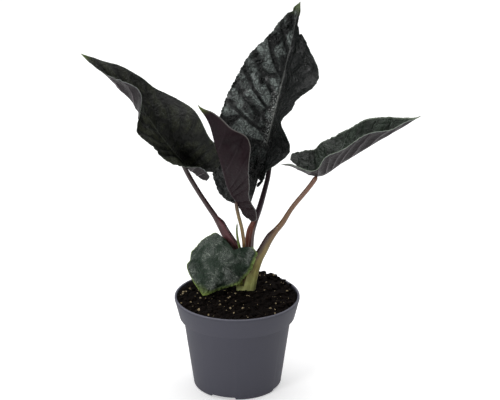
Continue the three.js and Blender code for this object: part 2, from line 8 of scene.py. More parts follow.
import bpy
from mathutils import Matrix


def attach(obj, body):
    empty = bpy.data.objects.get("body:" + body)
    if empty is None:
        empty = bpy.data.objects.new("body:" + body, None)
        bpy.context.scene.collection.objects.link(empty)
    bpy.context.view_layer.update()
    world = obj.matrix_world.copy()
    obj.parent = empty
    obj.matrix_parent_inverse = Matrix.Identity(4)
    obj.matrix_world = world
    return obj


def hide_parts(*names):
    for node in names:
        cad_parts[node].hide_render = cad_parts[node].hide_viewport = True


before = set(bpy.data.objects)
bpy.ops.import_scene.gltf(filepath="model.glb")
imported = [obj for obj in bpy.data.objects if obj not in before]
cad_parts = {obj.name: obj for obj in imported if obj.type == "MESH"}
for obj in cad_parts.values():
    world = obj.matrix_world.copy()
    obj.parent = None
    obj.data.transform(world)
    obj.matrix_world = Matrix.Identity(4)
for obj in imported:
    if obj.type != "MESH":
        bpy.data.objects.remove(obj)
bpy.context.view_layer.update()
print("nodes:", sorted(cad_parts))

# %% Tools of the trade
import math

import bpy
import numpy as np
from mathutils import Vector, noise

MM = 0.001  # Blender counts in metres, and the shapes below are written in millimetres


def plug(tree, node, inputs):
    """Each input takes a value, or is linked to a socket or to a node's first output."""
    for name, value in inputs.items():
        if isinstance(value, bpy.types.Node):
            value = value.outputs[0]
        if isinstance(value, bpy.types.NodeSocket):
            tree.links.new(value, node.inputs[name])
        else:
            node.inputs[name].default_value = value


def add(tree, kind, inputs=None, **settings):
    """Adds a node with its inputs and its settings."""
    node = tree.nodes.new("ShaderNode" + kind)
    for name, value in settings.items():
        setattr(node, name, value)
    plug(tree, node, inputs or {})
    return node


def new_finish(name):
    """A new material, its tree and the shader that it starts with."""
    finish = bpy.data.materials.new(name)
    finish.use_nodes = True
    return finish, finish.node_tree, finish.node_tree.nodes["Principled BSDF"]


# %% [markdown]
# ## Colours
#
# A colour picked on a screen is an sRGB value, written as six hex digits. Blender counts light, so it wants
# linear values. One function turns the first into the second, and every colour below goes through it.


# %% Turn a screen colour to linear light
def linear(colour):
    """An sRGB hex colour such as #8899aa as linear red, green, blue and alpha."""
    shares = [int(colour[i : i + 2], 16) / 255 for i in (1, 3, 5)]
    light = [s / 12.92 if s <= 0.04045 else ((s + 0.055) / 1.055) ** 2.4 for s in shares]
    return (*light, 1)


print("mid grey #808080 is", round(linear("#808080")[0], 3), "in linear light")

# %% [markdown]
# ## From numbers to a mesh
#
# Leaves and stalks are grown from formulas, so their meshes are made from lists of points and faces. Each
# vertex also keeps flat coordinates, which the finishes read: some count in veins and in shares of the width,
# and some in millimetres, so that a pattern can be given its real size.


# %% Make one piece from points and faces
def make_mesh(name, points, faces, finishes, face_finish=None, maps=None):
    """A smooth mesh object from points in millimetres. maps gives each vertex its flat coordinates."""
    mesh = bpy.data.meshes.new(name)
    mesh.from_pydata((np.asarray(points) * MM).tolist(), [], [list(map(int, f)) for f in faces])
    for finish in finishes:
        mesh.materials.append(finish)
    if face_finish is not None:
        mesh.polygons.foreach_set("material_index", np.asarray(face_finish, np.int32))
    corners = np.zeros(len(mesh.loops), np.int32)
    mesh.loops.foreach_get("vertex_index", corners)
    for map_name, places in (maps or {}).items():
        layer = mesh.uv_layers.new(name=map_name)
        layer.data.foreach_set("uv", np.asarray(places, np.float32)[corners].ravel())
    mesh.polygons.foreach_set("use_smooth", [True] * len(mesh.polygons))
    mesh.update()
    piece = bpy.data.objects.new(name, mesh)
    bpy.context.scene.collection.objects.link(piece)
    return piece


def closed(rings, foot, head):
    """Points and faces of a closed body: rings of points, with one point before and one behind them."""
    rings = np.asarray(rings)
    grid = np.arange(rings[..., 0].size).reshape(rings.shape[:2])
    beyond = np.roll(grid, -1, axis=1)
    faces = np.stack([grid[:-1], beyond[:-1], beyond[1:], grid[1:]], -1).reshape(-1, 4).tolist()
    faces += [[grid.size, b, a] for a, b in zip(grid[0], beyond[0])]
    faces += [[grid.size + 1, a, b] for a, b in zip(grid[-1], beyond[-1])]
    return np.concatenate([rings.reshape(-1, 3), [foot, head]]), faces


def stand_in(piece, slot, *nodes):
    """The piece moves with the plant and is shown in place of its CAD nodes."""
    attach(piece, "root")
    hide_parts(*nodes)
    print(piece.name, "has", len(piece.data.polygons), "faces")


# %% [markdown]
# ## Smooth lines
#
# A midrib, a stalk and a leaf's edge are smooth lines through a few points. A Catmull-Rom line passes through
# every point it is given, which makes it easy to place. The CAD model draws its lines in the same way, so
# both models agree.


# %% Draw a smooth line through points
LINE_STEPS = 60  # places measured between two given points


def smooth_line(points, t, carried_on=False):
    """Places on a smooth line. t counts the given points from 0. Its ends are held, or carried on."""
    points = np.asarray(points, float)
    first = 2 * points[0] - points[1] if carried_on else points[0]
    last = 2 * points[-1] - points[-2] if carried_on else points[-1]
    row = np.vstack([first, points, last])
    t = np.atleast_1d(np.asarray(t, float))
    i = np.clip(np.floor(t).astype(int), 0, len(points) - 2)
    u = (t - i)[:, None]
    a, b, c, d = (row[i + k] for k in range(4))
    bend = (2 * a - 5 * b + 4 * c - d) * u**2 + (3 * b - a - 3 * c + d) * u**3
    return 0.5 * (2 * b + (c - a) * u + bend)


def between(stations, values, x):
    """The value at each x on a smooth line through the values at the stations."""
    x = np.asarray(x, float)
    t = np.interp(x.ravel(), stations, np.arange(len(stations)))
    return smooth_line(np.asarray(values, float)[:, None], t)[:, 0].reshape(x.shape)


def measured_line(points):
    """Many places on a smooth line, and how far along it each one lies."""
    stretches = len(points) - 1
    path = smooth_line(points, np.linspace(0, stretches, LINE_STEPS * stretches + 1), True)
    steps = np.linalg.norm(np.diff(path, axis=0), axis=1)
    return path, np.concatenate([[0], np.cumsum(steps)])


def place_on(path, travelled, distance):
    return np.stack([np.interp(distance, travelled, axis) for axis in path.T], -1)


def unit(vectors):
    return vectors / np.linalg.norm(vectors, axis=-1, keepdims=True)


def eased(x, start, end):
    """0 up to start and 1 from end, with a soft rise between them."""
    t = np.clip((x - start) / (end - start), 0, 1)
    return t * t * (3 - 2 * t)


def ridge(x, width):
    """1 at 0, falling off on both sides over about the width."""
    return np.exp(-((x / width) ** 2))


print("halfway between 0 and 10:", between([0, 1], [0, 10], 0.5))

# %% [markdown]
# ## How a blade is shaped
#
# An alocasia's blade is an arrowhead. Its stalk joins it at the back, and behind the joint hang two lobes
# with a notch between them. From the midrib a few strong side veins run out to the edge and bend towards the
# tip. The skin between two veins is puffed up like a quilt, the two halves fold up along the midrib, and the
# edge waves.
#
# A flat sheet bent by modifiers would be quick, but its veins wouldn't follow the leaf. So the blade is
# laid out flat first, as rows that follow its veins, and then every point is folded up beside the midrib.
# These are the same few values that the CAD model is made from, in millimetres and degrees. Five are new:
# skew is how far the side veins lean on, in veins. Ripple, bite and pucker are the heights of the edge's
# ripple, its scallops and the puckers. A nick is a torn place: its side, its row, how many rows wide it is
# and what share of the reach is gone.

# %% The blades' own measures
FOLD_AT = [-0.35, -0.15, 0, 0.15, 0.3, 0.45, 0.6, 0.75, 0.9]
WIDTH_AT = [0, 0.15, 0.3, 0.45, 0.6, 0.75, 0.9, 1]


def half(fold, width, lobe, lobe_out):
    """One half: its folds at FOLD_AT, its widths at WIDTH_AT, and how long and how far out its lobe is."""
    return {"fold": fold, "width": width, "lobe": lobe, "lobe_out": lobe_out}


LEAVES = {
    "tall": dict(
        rib=[
            [21, 38, 197], [29, 42, 230], [35.7, 50, 256.4], [42.4, 57, 282], [48, 62, 306],
            [53, 66, 327.5], [57, 69, 349], [60.6, 70, 361],
        ],
        faces=[[-0.25, -0.9, 0.3], [-0.1, -0.95, 0.3]],
        sinus=36, smooth=9, lines=16, puff=1.9, wave=(1.6, 6), skew=0.9, ripple=0.6, bite=1.5, pucker=1.6,
        nicks=((1, 20.9, 0.35, 0.6), (1, 19.9, 0.15, 0.35), (-1, 21.9, 0.2, 0.35)),
        right=half([84, 72, 52, 70, 62, 43, 30, 60, 96], [45, 47, 45, 45, 37, 23, 7], 40, 16),
        left=half([20, 20, 22, 26, 14, 4, 24, 38, 42], [51, 51, 47, 42, 35, 24, 11], 67, 2),
    ),
    "left": dict(
        rib=[
            [-33, 9, 207], [-51, 8, 223], [-70, 4, 248.5], [-83, 0, 270], [-97, -3, 287.6],
            [-115.4, -5, 307.8], [-127, -6, 319.6], [-139.6, -8, 329.4],
        ],
        faces=[[0.5, -0.6, 0.5], [0.5, -0.6, 0.5]],
        sinus=12, smooth=9, lines=16, puff=1.4, wave=(1.4, 4), skew=0.6, ripple=0.3, bite=0.4, pucker=0.5,
        right=half([70, 66, 62, 50, 7, -12, 2, -4, -26], [37, 39, 40, 33, 25, 17, 6], 30, 12),
        left=half([90, 88, 60, 32, 34, 32, 78, 76, 54], [24, 29, 34, 35, 30, 20, 7], 29, 8),
    ),
    "young": dict(
        rib=[
            [10.9, 2, 165], [-0.3, 2, 185.4], [-7.3, 0, 199], [-13.6, -4, 223.7], [-19.4, -8, 246],
            [-25, -11, 267], [-35, -12, 282.5],
        ],
        faces=[[0.8, 0.6, 0], [0.8, 0.6, 0]],
        sinus=8, smooth=9, lines=14, puff=0.9, wave=(0.8, 4), skew=0.5, ripple=0.3, bite=0.3, pucker=0.15,
        right=half([50, 55, 60, 65, 65, 65, 65, 65, 65], [26, 30, 33, 32, 26, 17, 6], 24, 10),
        left=half([0, 0, 2, 8, 12, 20, 55, 42, 50], [22, 27, 31, 33, 30, 18, 7], 24, 5),
    ),
    "right": dict(
        rib=[
            [50, 11, 218], [75.4, 12, 207], [98.8, 14, 220], [116.5, 16, 230.4], [134.2, 18, 240.8],
            [152.3, 20, 250.7], [163.9, 21, 257.8], [172.3, 22, 262],
        ],
        faces=[[-0.45, -0.1, 0.88], [-0.45, -0.1, 0.88]],
        sinus=8, smooth=18, lines=16, puff=1.2, wave=(1.8, 3.5), skew=0.6, ripple=0.4, bite=0.4, pucker=0.65,
        right=half([20, 30, 42, 46, 47, 47, 46, 45, 60], [32, 34, 33, 30, 24, 16, 6], 38, 9),
        left=half([8, 22, 36, 36, 24, 36, 54, 51, 60], [30, 33, 33, 29, 25, 17, 6], 28, 9),
    ),
    "low": dict(
        rib=[[0.5, 3.5, 140], [-15, -1, 122.5], [-23.5, -7, 109], [-32.5, -12, 94.8]],
        faces=[[0, -0.9, 0.4], [0, -0.9, 0.4]],
        sinus=18, smooth=9, lines=8, puff=0.9, wave=(0.7, 3), skew=0.5, ripple=0.3, bite=0.6, pucker=1.8,
        right=half([-30, -34, -36, -36, -40, -32, -25, -16, 0], [36, 38, 37, 34, 28, 19, 8], 20, 14),
        left=half([-26, -30, -32, -30, -32, -40, -45, -50, -50], [29, 28, 24, 20, 15, 9, 4], 32, 12),
    ),
}
print("blades:", ", ".join(LEAVES))

# %% [markdown]
# ## The midrib
#
# Everything on a blade is placed from its midrib: how far along it, and how far out to the side. So the
# midrib needs a ruler, a measured length, and at each place three directions: to the tip, out to the right,
# and up from the leaf's face. The blade's right half is on the reader's right with the tip pointing away.


# %% Measure along a midrib
class Midrib:
    def __init__(self, leaf):
        self.path, self.travelled = measured_line(leaf["rib"])
        self.behind = self.travelled[LINE_STEPS]
        self.length = self.travelled[-1] - self.behind
        self.faces = np.asarray(leaf["faces"], float)
        self.smooth = leaf["smooth"]

    def at(self, y):
        return place_on(self.path, self.travelled, np.clip(y + self.behind, 0, self.travelled[-1]))

    def frame(self, y):
        """The places at y, the ways that the upper side faces there, and the ways to the right."""
        low = np.clip(y - self.smooth, -self.behind, self.length - 2 * self.smooth)
        along = unit(self.at(low + 2 * self.smooth) - self.at(low))
        inside = np.clip(y, -self.behind, self.length)
        place = self.at(inside) + along * (y - inside)[..., None]
        share = np.clip(y / self.length, 0, 1)[..., None]
        up = self.faces[0] * (1 - share) + self.faces[1] * share
        up = unit(up - along * np.sum(up * along, -1, keepdims=True))
        return place, up, np.cross(along, up)


midribs = {name: Midrib(leaf) for name, leaf in LEAVES.items()}
print({name: f"{rib.length:.0f} mm" for name, rib in midribs.items()})

# %% [markdown]
# ## The flat blade
#
# The rows start at the end of a basal lobe, run round past the notch to the stalk's joint, and go on to the
# tip. Every second whole row number is a side vein. The step from one whole row to the next is split in
# eight, about a millimetre or less each, which is enough for a puff to look round.

# %% Lay one half of a blade out flat
NECK_ROWS = 2  # from the joint back to the notch
LOBE_ROWS = 5  # from the notch to the end of a lobe
BACK_ROWS = NECK_ROWS + LOBE_ROWS
FINE_ROWS = 8
COLUMNS = 26
LEAN = 0.22  # how far a side vein leans to the tip, as a share of the blade's length
LEAN_FULL = 0.45
BOW = 1.25
LOBE_EDGE = ((1, 0), (0.97, 0.3), (0.85, 0.65))  # as shares of the half width and of the lobe's length
SHOULDER = (0.55, 0.5, 0.92)  # shares of the half width, of the lobe's end and of its length
ROW_ENDS = 0.05  # how far short of the very end the first and last rows stop, so that no face is a point

across = np.linspace(0, 1, COLUMNS)
across = across - 0.5 * np.sin(2 * np.pi * across) / (2 * np.pi)  # closer at the midrib and the edge


def row_numbers(leaf):
    count = BACK_ROWS + leaf["lines"]
    rows = np.linspace(0, count, FINE_ROWS * count + 1)
    rows[0] += ROW_ENDS
    rows[-1] -= ROW_ENDS
    return rows


def width_at(half, share):
    return between(WIDTH_AT, [*half["width"], 0], share)


def flat_half(leaf, half, length):
    """The flat x and y of one half's points, and how long each row is."""
    rows = row_numbers(leaf)
    back = np.clip(BACK_ROWS - rows, 0, None)
    w, lobe, out, sinus = half["width"][0], half["lobe"], half["lobe_out"], leaf["sinus"]
    shoulder = [SHOULDER[0] * w + SHOULDER[1] * out, -SHOULDER[2] * lobe]
    edge = [*([x * w, -y * lobe] for x, y in LOBE_EDGE), shoulder, [out, -lobe]]
    lobe_end = smooth_line(edge, back / BACK_ROWS * (len(edge) - 1))
    notch = [[0, -sinus], [0.35 * out, -0.5 * (lobe + sinus)], [out, -lobe]]
    past = np.clip((back - NECK_ROWS) / LOBE_ROWS, 0, 1)
    lobe_root = smooth_line(notch, past * (len(notch) - 1))
    neck = np.stack([0 * back, -sinus * back / NECK_ROWS], -1)
    lobe_root = np.where((back <= NECK_ROWS)[:, None], neck, lobe_root)

    share = np.clip((rows - BACK_ROWS) / leaf["lines"], 0, 1)
    span = width_at(leaf["right"], share) + width_at(leaf["left"], share)
    whole = leaf["right"]["width"][0] + leaf["left"]["width"][0]
    lean = LEAN * np.minimum(1, share / LEAN_FULL) * span / whole
    rib_root = np.stack([0 * share, (share - lean) * length], -1)
    rib_end = np.stack([width_at(half, share), share * length], -1)

    ahead = rows >= BACK_ROWS
    root = np.where(ahead[:, None], rib_root, lobe_root)
    end = np.where(ahead[:, None], rib_end, lobe_end)
    bow = np.where(ahead, BOW, 1)[:, None]
    x = root[:, :1] + (end - root)[:, :1] * across
    y = root[:, 1:] + (end - root)[:, 1:] * across**bow
    return x, y, np.linalg.norm(end - root, axis=1)


# %% [markdown]
# ## Folding it up
#
# Beside the midrib a strip of 6 mm bends, and the rest of the half stands straight out from it at the fold
# angle. Then four lifts are added square to the skin: the puffs between the veins, the slow wave of the
# edge, a fine ripple of the edge, and the puckers, a noise that crumples the skin like thin leather. A puff
# has a sharp valley at each vein and a round top between two of them, which is just what the absolute value
# of a sine looks like. The edge is also bitten: small scallops, some 10 mm and 4 mm long, are taken off
# each row's reach, and at a few torn nicks it is cut back further.

# %% Fold one half up beside the midrib
CREASE = 6
FULL_PUFF = 26  # the length of a row from which it is puffed and waved in full
WAVES_APART = 0.13
RIPPLE_ROWS = 1.15  # the length of the edge's fine ripple, in rows
PUCKER_SIZE = 6  # from one pucker to the next
SMOOTH_SIDE = 0.35  # how much of the ripple, the bites and the puckers the right half keeps
SCALLOPS = ((1, 0.4, 0.5), (2.7, 1.9, 0.5))  # how many in a row, where they start and their share


def bites(leaf, rows):
    """How much of the reach the scallops take off, in mm."""
    deep = sum(part * (1 - np.abs(np.sin(np.pi * often * rows + start))) for often, start, part in SCALLOPS)
    return leaf["bite"] * deep


def puckers(leaf_name, x, y):
    """A crumpled lift: noise that is sharper in its valleys than on its tops."""
    seed = 10 * list(LEAVES).index(leaf_name)
    lift = [
        abs(noise.noise(Vector((a / PUCKER_SIZE, b / PUCKER_SIZE, seed))))
        + 0.5 * abs(noise.noise(Vector((2.1 * a / PUCKER_SIZE, 2.1 * b / PUCKER_SIZE, seed + 5))))
        for a, b in zip(x.ravel(), y.ravel())
    ]
    return LEAVES[leaf_name]["pucker"] * (2 * np.reshape(lift, x.shape) - 0.6)


def folded_half(leaf_name, side, half):
    """Points of one half in space, and their flat places: in veins, in mm and in mm from the edge."""
    leaf, midrib = LEAVES[leaf_name], midribs[leaf_name]
    x, y, reach = flat_half(leaf, half, midrib.length)
    rows = row_numbers(leaf)[:, None]
    grown = np.minimum(1, reach / FULL_PUFF)[:, None]
    calm = SMOOTH_SIDE if side > 0 else 1
    kept = 1 - calm * bites(leaf, rows) * grown / np.maximum(reach, 1)[:, None] * across**4
    for nick_side, row, width, gone in leaf.get("nicks", ()):
        if nick_side == side:
            kept = kept * (1 - gone * ridge(rows - row, width) * across**2)
    x, y = x[:, :1] + (x - x[:, :1]) * kept, y[:, :1] + (y - y[:, :1]) * kept
    place, up, right = midrib.frame(y)
    fold = np.radians(between(FOLD_AT, half["fold"], y / midrib.length))
    inner = np.minimum(x, CREASE)
    angle = fold * inner / CREASE
    bend = np.where(np.abs(angle) < 1e-6, 1e-6, angle)
    out = np.sin(bend) * inner / bend + (x - inner) * np.cos(angle)
    rise = (1 - np.cos(bend)) * inner / bend + (x - inner) * np.sin(angle)

    number = (rows - 1) / 2 - leaf["skew"] * across * eased(rows, BACK_ROWS, BACK_ROWS + 2)
    puff = leaf["puff"] * np.sin(np.pi * across) * np.abs(np.sin(np.pi * number))
    size, count = leaf["wave"]
    phase = rows / (BACK_ROWS + leaf["lines"] + 1) + (0 if side > 0 else WAVES_APART)
    wave = size * across**2 * np.sin(2 * np.pi * count * phase)
    turns = 2 * np.pi * rows / RIPPLE_ROWS + 3 * np.sin(1.7 * rows)
    ripple = calm * leaf["ripple"] * across**10 * np.sin(turns)
    pucker = calm * puckers(leaf_name, side * x, y) * eased(x, 0, 8)
    lift = (puff + wave + ripple + pucker) * grown
    points = place + right * (side * (out - lift * np.sin(angle)))[..., None]
    points = points + up * (rise + lift * np.cos(angle))[..., None]
    veins = np.stack([side * np.broadcast_to(across, x.shape), number], -1)
    edge = np.stack([reach[:, None] * (1 - across), 0 * x], -1)
    return points, veins, np.stack([side * x, y], -1), edge


# %% [markdown]
# ## A skin with two sides
#
# The blade is a closed body: an upper skin, an under skin and a thin rim. Below, the midrib stands out as a
# keel that gets finer towards the tip, and each side vein as a small ridge. Above, the midrib lies in a
# shallow groove. The two halves share the points on the midrib, so the skin runs over it without a gap.

# %% Give a blade its thickness, keel and veins
HALF_THICK = 0.36
EDGE_HALF_THICK = 0.22
KEEL_HEIGHT = 1.3
KEEL_WIDTH = 1.7
GROOVE_DEPTH = 0.3
GROOVE_WIDTH = 1.3
VEIN_RIDGE = 0.35
VEIN_ROWS = 0.1  # half the width of a side vein's ridge, in rows
RIM_ROUNDING = 0.15


def blade_points(leaf_name):
    """The middle skin of a blade: points, faces, flat coordinates and the edge, as one loop."""
    leaf = LEAVES[leaf_name]
    rows = row_numbers(leaf)
    halves = [folded_half(leaf_name, 1, leaf["right"]), folded_half(leaf_name, -1, leaf["left"])]
    points, veins, flat, edge = (np.concatenate(part).reshape(-1, part[0].shape[-1]) for part in zip(*halves))
    grids = np.arange(len(points)).reshape(2, len(rows), COLUMNS)
    shared = rows >= LOBE_ROWS - 1e-9
    grids[1, shared, 0] = grids[0, shared, 0]
    faces, edges = [], []
    for side, grid in zip((1, -1), grids):
        a, b, c, d = grid[:-1, :-1], grid[:-1, 1:], grid[1:, 1:], grid[1:, :-1]
        faces.append(np.stack((a, b, c, d) if side > 0 else (a, d, c, b), -1).reshape(-1, 4))
        sides = grid[~shared, 0][::-1], grid[0, 1:-1], grid[:, -1], grid[-1, 1:-1][::-1]
        edges.append(np.concatenate(sides))
    notch, tip = grids[0, np.argmax(shared), 0], grids[0, -1, 0]
    loop = np.concatenate([[notch], edges[1], [tip], edges[0][::-1]])
    return points, np.concatenate(faces), veins, flat, edge, loop


def blade_body(name, finishes):
    midrib = midribs[name]
    points, faces, veins, flat, edge, loop = blade_points(name)
    normals = np.zeros_like(points)
    corners = points[faces]
    square = np.cross(corners[:, 2] - corners[:, 0], corners[:, 3] - corners[:, 1])
    for k in range(4):
        np.add.at(normals, faces[:, k], square)
    used = np.linalg.norm(normals, axis=1) > 0
    normals[used] = unit(normals[used])

    x, y = np.abs(flat[:, 0]), flat[:, 1]
    share = np.abs(veins[:, 0])
    grown = eased(y, -4, 6) * np.clip(1 - y / midrib.length, 0, 1) ** 0.6
    to_vein = np.abs((veins[:, 1] + 0.5) % 1 - 0.5)
    side_vein = VEIN_RIDGE * ridge(to_vein, VEIN_ROWS) * (1 - 0.7 * share) * eased(x, 0, 3)
    half = HALF_THICK + (EDGE_HALF_THICK - HALF_THICK) * share**4
    above = half - GROOVE_DEPTH * ridge(x, GROOVE_WIDTH) * grown
    below = half + KEEL_HEIGHT * ridge(x, KEEL_WIDTH) * grown + side_vein
    top = points + normals * above[:, None]
    bottom = points - normals * below[:, None]

    following = np.roll(loop, -1)
    outward = unit(np.cross(unit(points[following] - points[np.roll(loop, 1)]), normals[loop]))
    rim = points[loop] + outward * RIM_ROUNDING
    count = len(points)
    rim_at = np.arange(len(loop)) + 2 * count
    rim_next = np.roll(rim_at, -1)
    upper_rim = np.stack([loop, rim_at, rim_next, following], -1)
    lower_rim = np.stack([rim_at, loop + count, following + count, rim_next], -1)
    every_face = np.concatenate([faces, faces[:, ::-1] + count, upper_rim, lower_rim])
    kinds = np.concatenate([np.zeros(len(faces)), np.ones(len(faces)), np.zeros(2 * len(loop))])
    every_point = np.concatenate([top, bottom, rim])
    kept, renumbered = np.unique(every_face, return_inverse=True)
    maps = {"veins": veins, "skin_mm": flat, "edge_mm": edge}
    maps = {kind: np.concatenate([at, at, at[loop]])[kept] for kind, at in maps.items()}
    faces = renumbered.reshape(every_face.shape)
    return make_mesh(f"blade_{name}", every_point[kept], faces, finishes, kinds, maps)


# %% [markdown]
# ## The skin of a leaf
#
# A leaf's skin is a living film with a coat of wax, so it is made of plant, but it shines like a soft
# plastic. Its IOR is about 1.45. An alocasia of this kind is nearly black with a blue-green cast above, and
# plum grey below. The pattern is drawn from the flat coordinates: side veins where the vein count is whole, a
# midrib close to the middle, and a pale line close to the edge. Over the dark skin lies a painted sheen, a
# grey reflection painted into the colour in patches. It is left out as painted shade in the furrows of the
# veins, in the creases and on a lobe in shadow, and each half has its own share of it. The patches, creases
# and grain have their sizes in millimetres given with each look, as are the widths of the pale margin and of
# the midrib. The real grain is finer than a tenth of a millimetre, and is drawn as coarse as it has to be to
# show. An old leaf adds a fine pale net of wrinkles, and the glossy one painted highlights: small glints
# beside the midrib.
#
# Each mark is a soft step: something is measured, and the mark grows or fades between two of its values.
# So one table can list them all.

# %% One recipe for every leaf skin
LEAF_IOR = 1.45
SWAY = 0.3  # how far a side vein strays from its row, in veins
MIX_A, MIX_B, MIX_RESULT = 6, 7, 2  # the Mix node's sockets for colours


def leaf_skin(name, look):
    """A leaf's skin. look gives the colours, how strongly each mark shows, and the gloss."""
    finish, tree, shader = new_finish(name)
    by_vein, by_mm, by_edge = (add(tree, "UVMap", uv_map=at) for at in ("veins", "skin_mm", "edge_mm"))
    vein_x, vein_y, _ = add(tree, "SeparateXYZ", {0: by_vein}).outputs
    mm_x, mm_y, _ = add(tree, "SeparateXYZ", {0: by_mm}).outputs
    to_edge = add(tree, "SeparateXYZ", {0: by_edge})
    patch, crinkle, grain = (
        add(tree, "TexNoise", {"Vector": by_mm, "Scale": 1 / size, "Detail": 4, "Distortion": 0.5})
        for size in look["sizes"]
    )
    share = add(tree, "Math", {0: vein_x}, operation="ABSOLUTE")
    from_rib = add(tree, "Math", {0: mm_x}, operation="ABSOLUTE")
    strayed = add(tree, "Math", {0: patch, 1: 0.5}, operation="SUBTRACT")
    swayed = add(tree, "Math", {0: strayed, 1: SWAY, 2: vein_y}, operation="MULTIPLY_ADD")
    to_vein = add(tree, "Math", {0: swayed, 1: 0.5}, operation="PINGPONG")
    crest = add(tree, "Math", {0: crinkle, 1: 0.5}, operation="SUBTRACT")
    crease = add(tree, "Math", {0: crest}, operation="ABSOLUTE")

    steps = {  # what is measured, from and to which value, and how strong the mark is at both
        # open, crease and ahead paint shade: they leave the painted sheen out of the vein furrows, the
        # creases and a lobe in shadow. side gives each half its share of the painted sheen.
        "open": (to_vein, look["furrow_shade"], look["furrow_shade"] + 0.16, 0, 1),
        "patch": (patch, 0.4, 0.6, 0, 1),
        "crease": (crease, 0, 0.09, 1 - look["crease_shade"], 1),
        "net": (crease, 0.004, 0.022, look["nets"], 0),
        "grain": (grain, 0.35, 0.65, 0.3, 1),
        "side": (vein_x, -0.08, 0.08, *look["painted_sheen_halves"]),
        "ahead": (mm_y, look["lobe_to"] - 30, look["lobe_to"], look["lobe_sheen"], 1),
        # These steps down to left_side place painted highlights: glints in specks beside the lower midrib, on
        # its left half.
        "by_rib": (from_rib, 1, 9, look["painted_glints"], 0),
        "low_rib": (mm_y, 38, 60, 1, 0),
        "from_joint": (mm_y, -6, 3, 0, 1),
        "glint_specks": (grain, 0.5, 0.62, 0, 1),
        "left_side": (vein_x, -0.02, 0, 1, 0),
        "vein": (to_vein, 0.01, look["vein_width"], look["veins"], 0),
        "vein_end": (share, 0.2, 1, 1, 0.25),
        "broken": (patch, 0.4, 0.6, look["unbroken"], 1),
        "rib": (from_rib, 0.3, look["rib_width"], look["ribs"], 0),
        "rib_end": (mm_y, look["rib_from"], look["rib_to"], 1, look["rib_left"]),
        "margin_width": (vein_x, -0.08, 0.08, *look["margin_mm"]),
        "tip": (mm_y, look["tip_from"], look["tip_from"] + 14, 0, look["tips"]),
        "gloss": (patch, 0.3, 0.7, look["smooth"], look["rough"]),
    }
    mark = {}
    for kind, (measured, start, end, low, high) in steps.items():
        reach = {"Value": measured, "From Min": start, "From Max": end, "To Min": low, "To Max": high}
        mark[kind] = add(tree, "MapRange", reach, interpolation_type="SMOOTHSTEP")
    reach = {"Value": to_edge, "From Min": mark["margin_width"], "From Max": 0.2, "To Max": look["margins"]}
    margin = add(tree, "MapRange", reach)
    # The sheen product is a painted reflection and the glint product painted highlights; vein, net and rib
    # are the leaf's own marks.
    products = {
        "painted_sheen": ("open", "patch", "crease", "grain", "side", "ahead"),
        "painted_glint": ("by_rib", "low_rib", "from_joint", "glint_specks", "left_side"),
        "vein": ("vein", "vein_end", "broken"),
        "net": ("net", "patch", "grain"),
        "rib": ("rib", "rib_end", "from_joint"),
    }
    for kind, parts in products.items():
        amount = mark[parts[0]]
        for part in parts[1:]:
            amount = add(tree, "Math", {0: amount, 1: mark[part]}, operation="MULTIPLY")
        mark[kind] = amount

    colour = linear(look["dark"])
    # Two layers are painted light: the sheen, a painted reflection, and the glints, painted highlights.
    layers = [(patch, "light"), (mark["painted_sheen"], "painted_sheen"), (mark["vein"], "vein"), (mark["net"], "vein")]
    layers += [(mark["rib"], "rib"), (mark["painted_glint"], "painted_glint"), (margin, "margin"), (mark["tip"], "tip")]
    for amount, shade in layers:
        paints = {"Factor": amount, MIX_A: colour, MIX_B: linear(look[shade])}
        colour = add(tree, "Mix", paints, data_type="RGBA").outputs[MIX_RESULT]
    folded = add(tree, "Math", {0: crease, 1: look["crinkle"]}, operation="MULTIPLY")
    height = add(tree, "Math", {0: grain, 1: look["grain"], 2: folded}, operation="MULTIPLY_ADD")
    relief = add(tree, "Bump", {"Height": height, "Distance": MM})
    plug(tree, shader, {
        "Base Color": colour, "Roughness": mark["gloss"], "Normal": relief, "IOR": LEAF_IOR,
        "Specular IOR Level": look["shine"], "Coat Weight": look["wax"], "Coat Roughness": 0.25,
    })
    return finish


# %% [markdown]
# ## Five leaves, eight looks
#
# A look is one row of values for the recipe. A pair is for the left and the right half. The tall leaf is
# mature and quilted, with a silvery painted sheen on its left half and painted glints, small highlights,
# beside its midrib. The left one is nearly black with olive patches of painted sheen, the right one is
# green-black with a pale sage edge, and the young one, seen from below, is plum. The old one low in front
# has lost its wax: it is dark green with a grey painted sheen, fine pale wrinkles and a lime edge. Each look
# starts from another one and changes what differs.

# %% The mature, young and old leaves
# The sheen colours are a painted sheen, a grey reflection painted into the colour. The furrow and crease
# values paint shade where it is left out, and the lobe value is how much of it a lobe in shadow keeps.
tall_upper = dict(
    sizes=(14, 6, 1.3), dark="#050807", light="#0b110f", painted_sheen="#b1bdb8",
    painted_sheen_halves=(0.85, 0), lobe_sheen=0.05, lobe_to=0, furrow_shade=0.1, crease_shade=0.7,
    # The glint colour is the colour of the painted highlights beside the midrib.
    painted_glint="#d5d8d4", painted_glints=1, nets=0,
    vein="#2c3531", veins=0.15, vein_width=0.05, unbroken=0,
    rib="#8c8f88", ribs=0.6, rib_width=0.8, rib_from=40, rib_to=80, rib_left=0.2,
    margin="#4b584e", margins=0.5, margin_mm=(1.2, 1.2),
    tip="#55662c", tips=0.8, tip_from=122,
    smooth=0.24, rough=0.4, crinkle=7, grain=0.3, shine=0.5, wax=0.25,
)
left_upper = dict(
    tall_upper, dark="#090b08", light="#141610", painted_sheen="#3a3d2c",
    painted_sheen_halves=(0.9, 0.7), lobe_sheen=1, crease_shade=0.3, painted_glints=0, nets=0.5,
    vein="#575d55", veins=0.4, rib="#5a5f55", ribs=0.4, margin="#6a7266", margins=0.6,
    tip="#6d8438", tip_from=128,
    smooth=0.42, rough=0.55, crinkle=2.5, shine=0.3, wax=0,
)
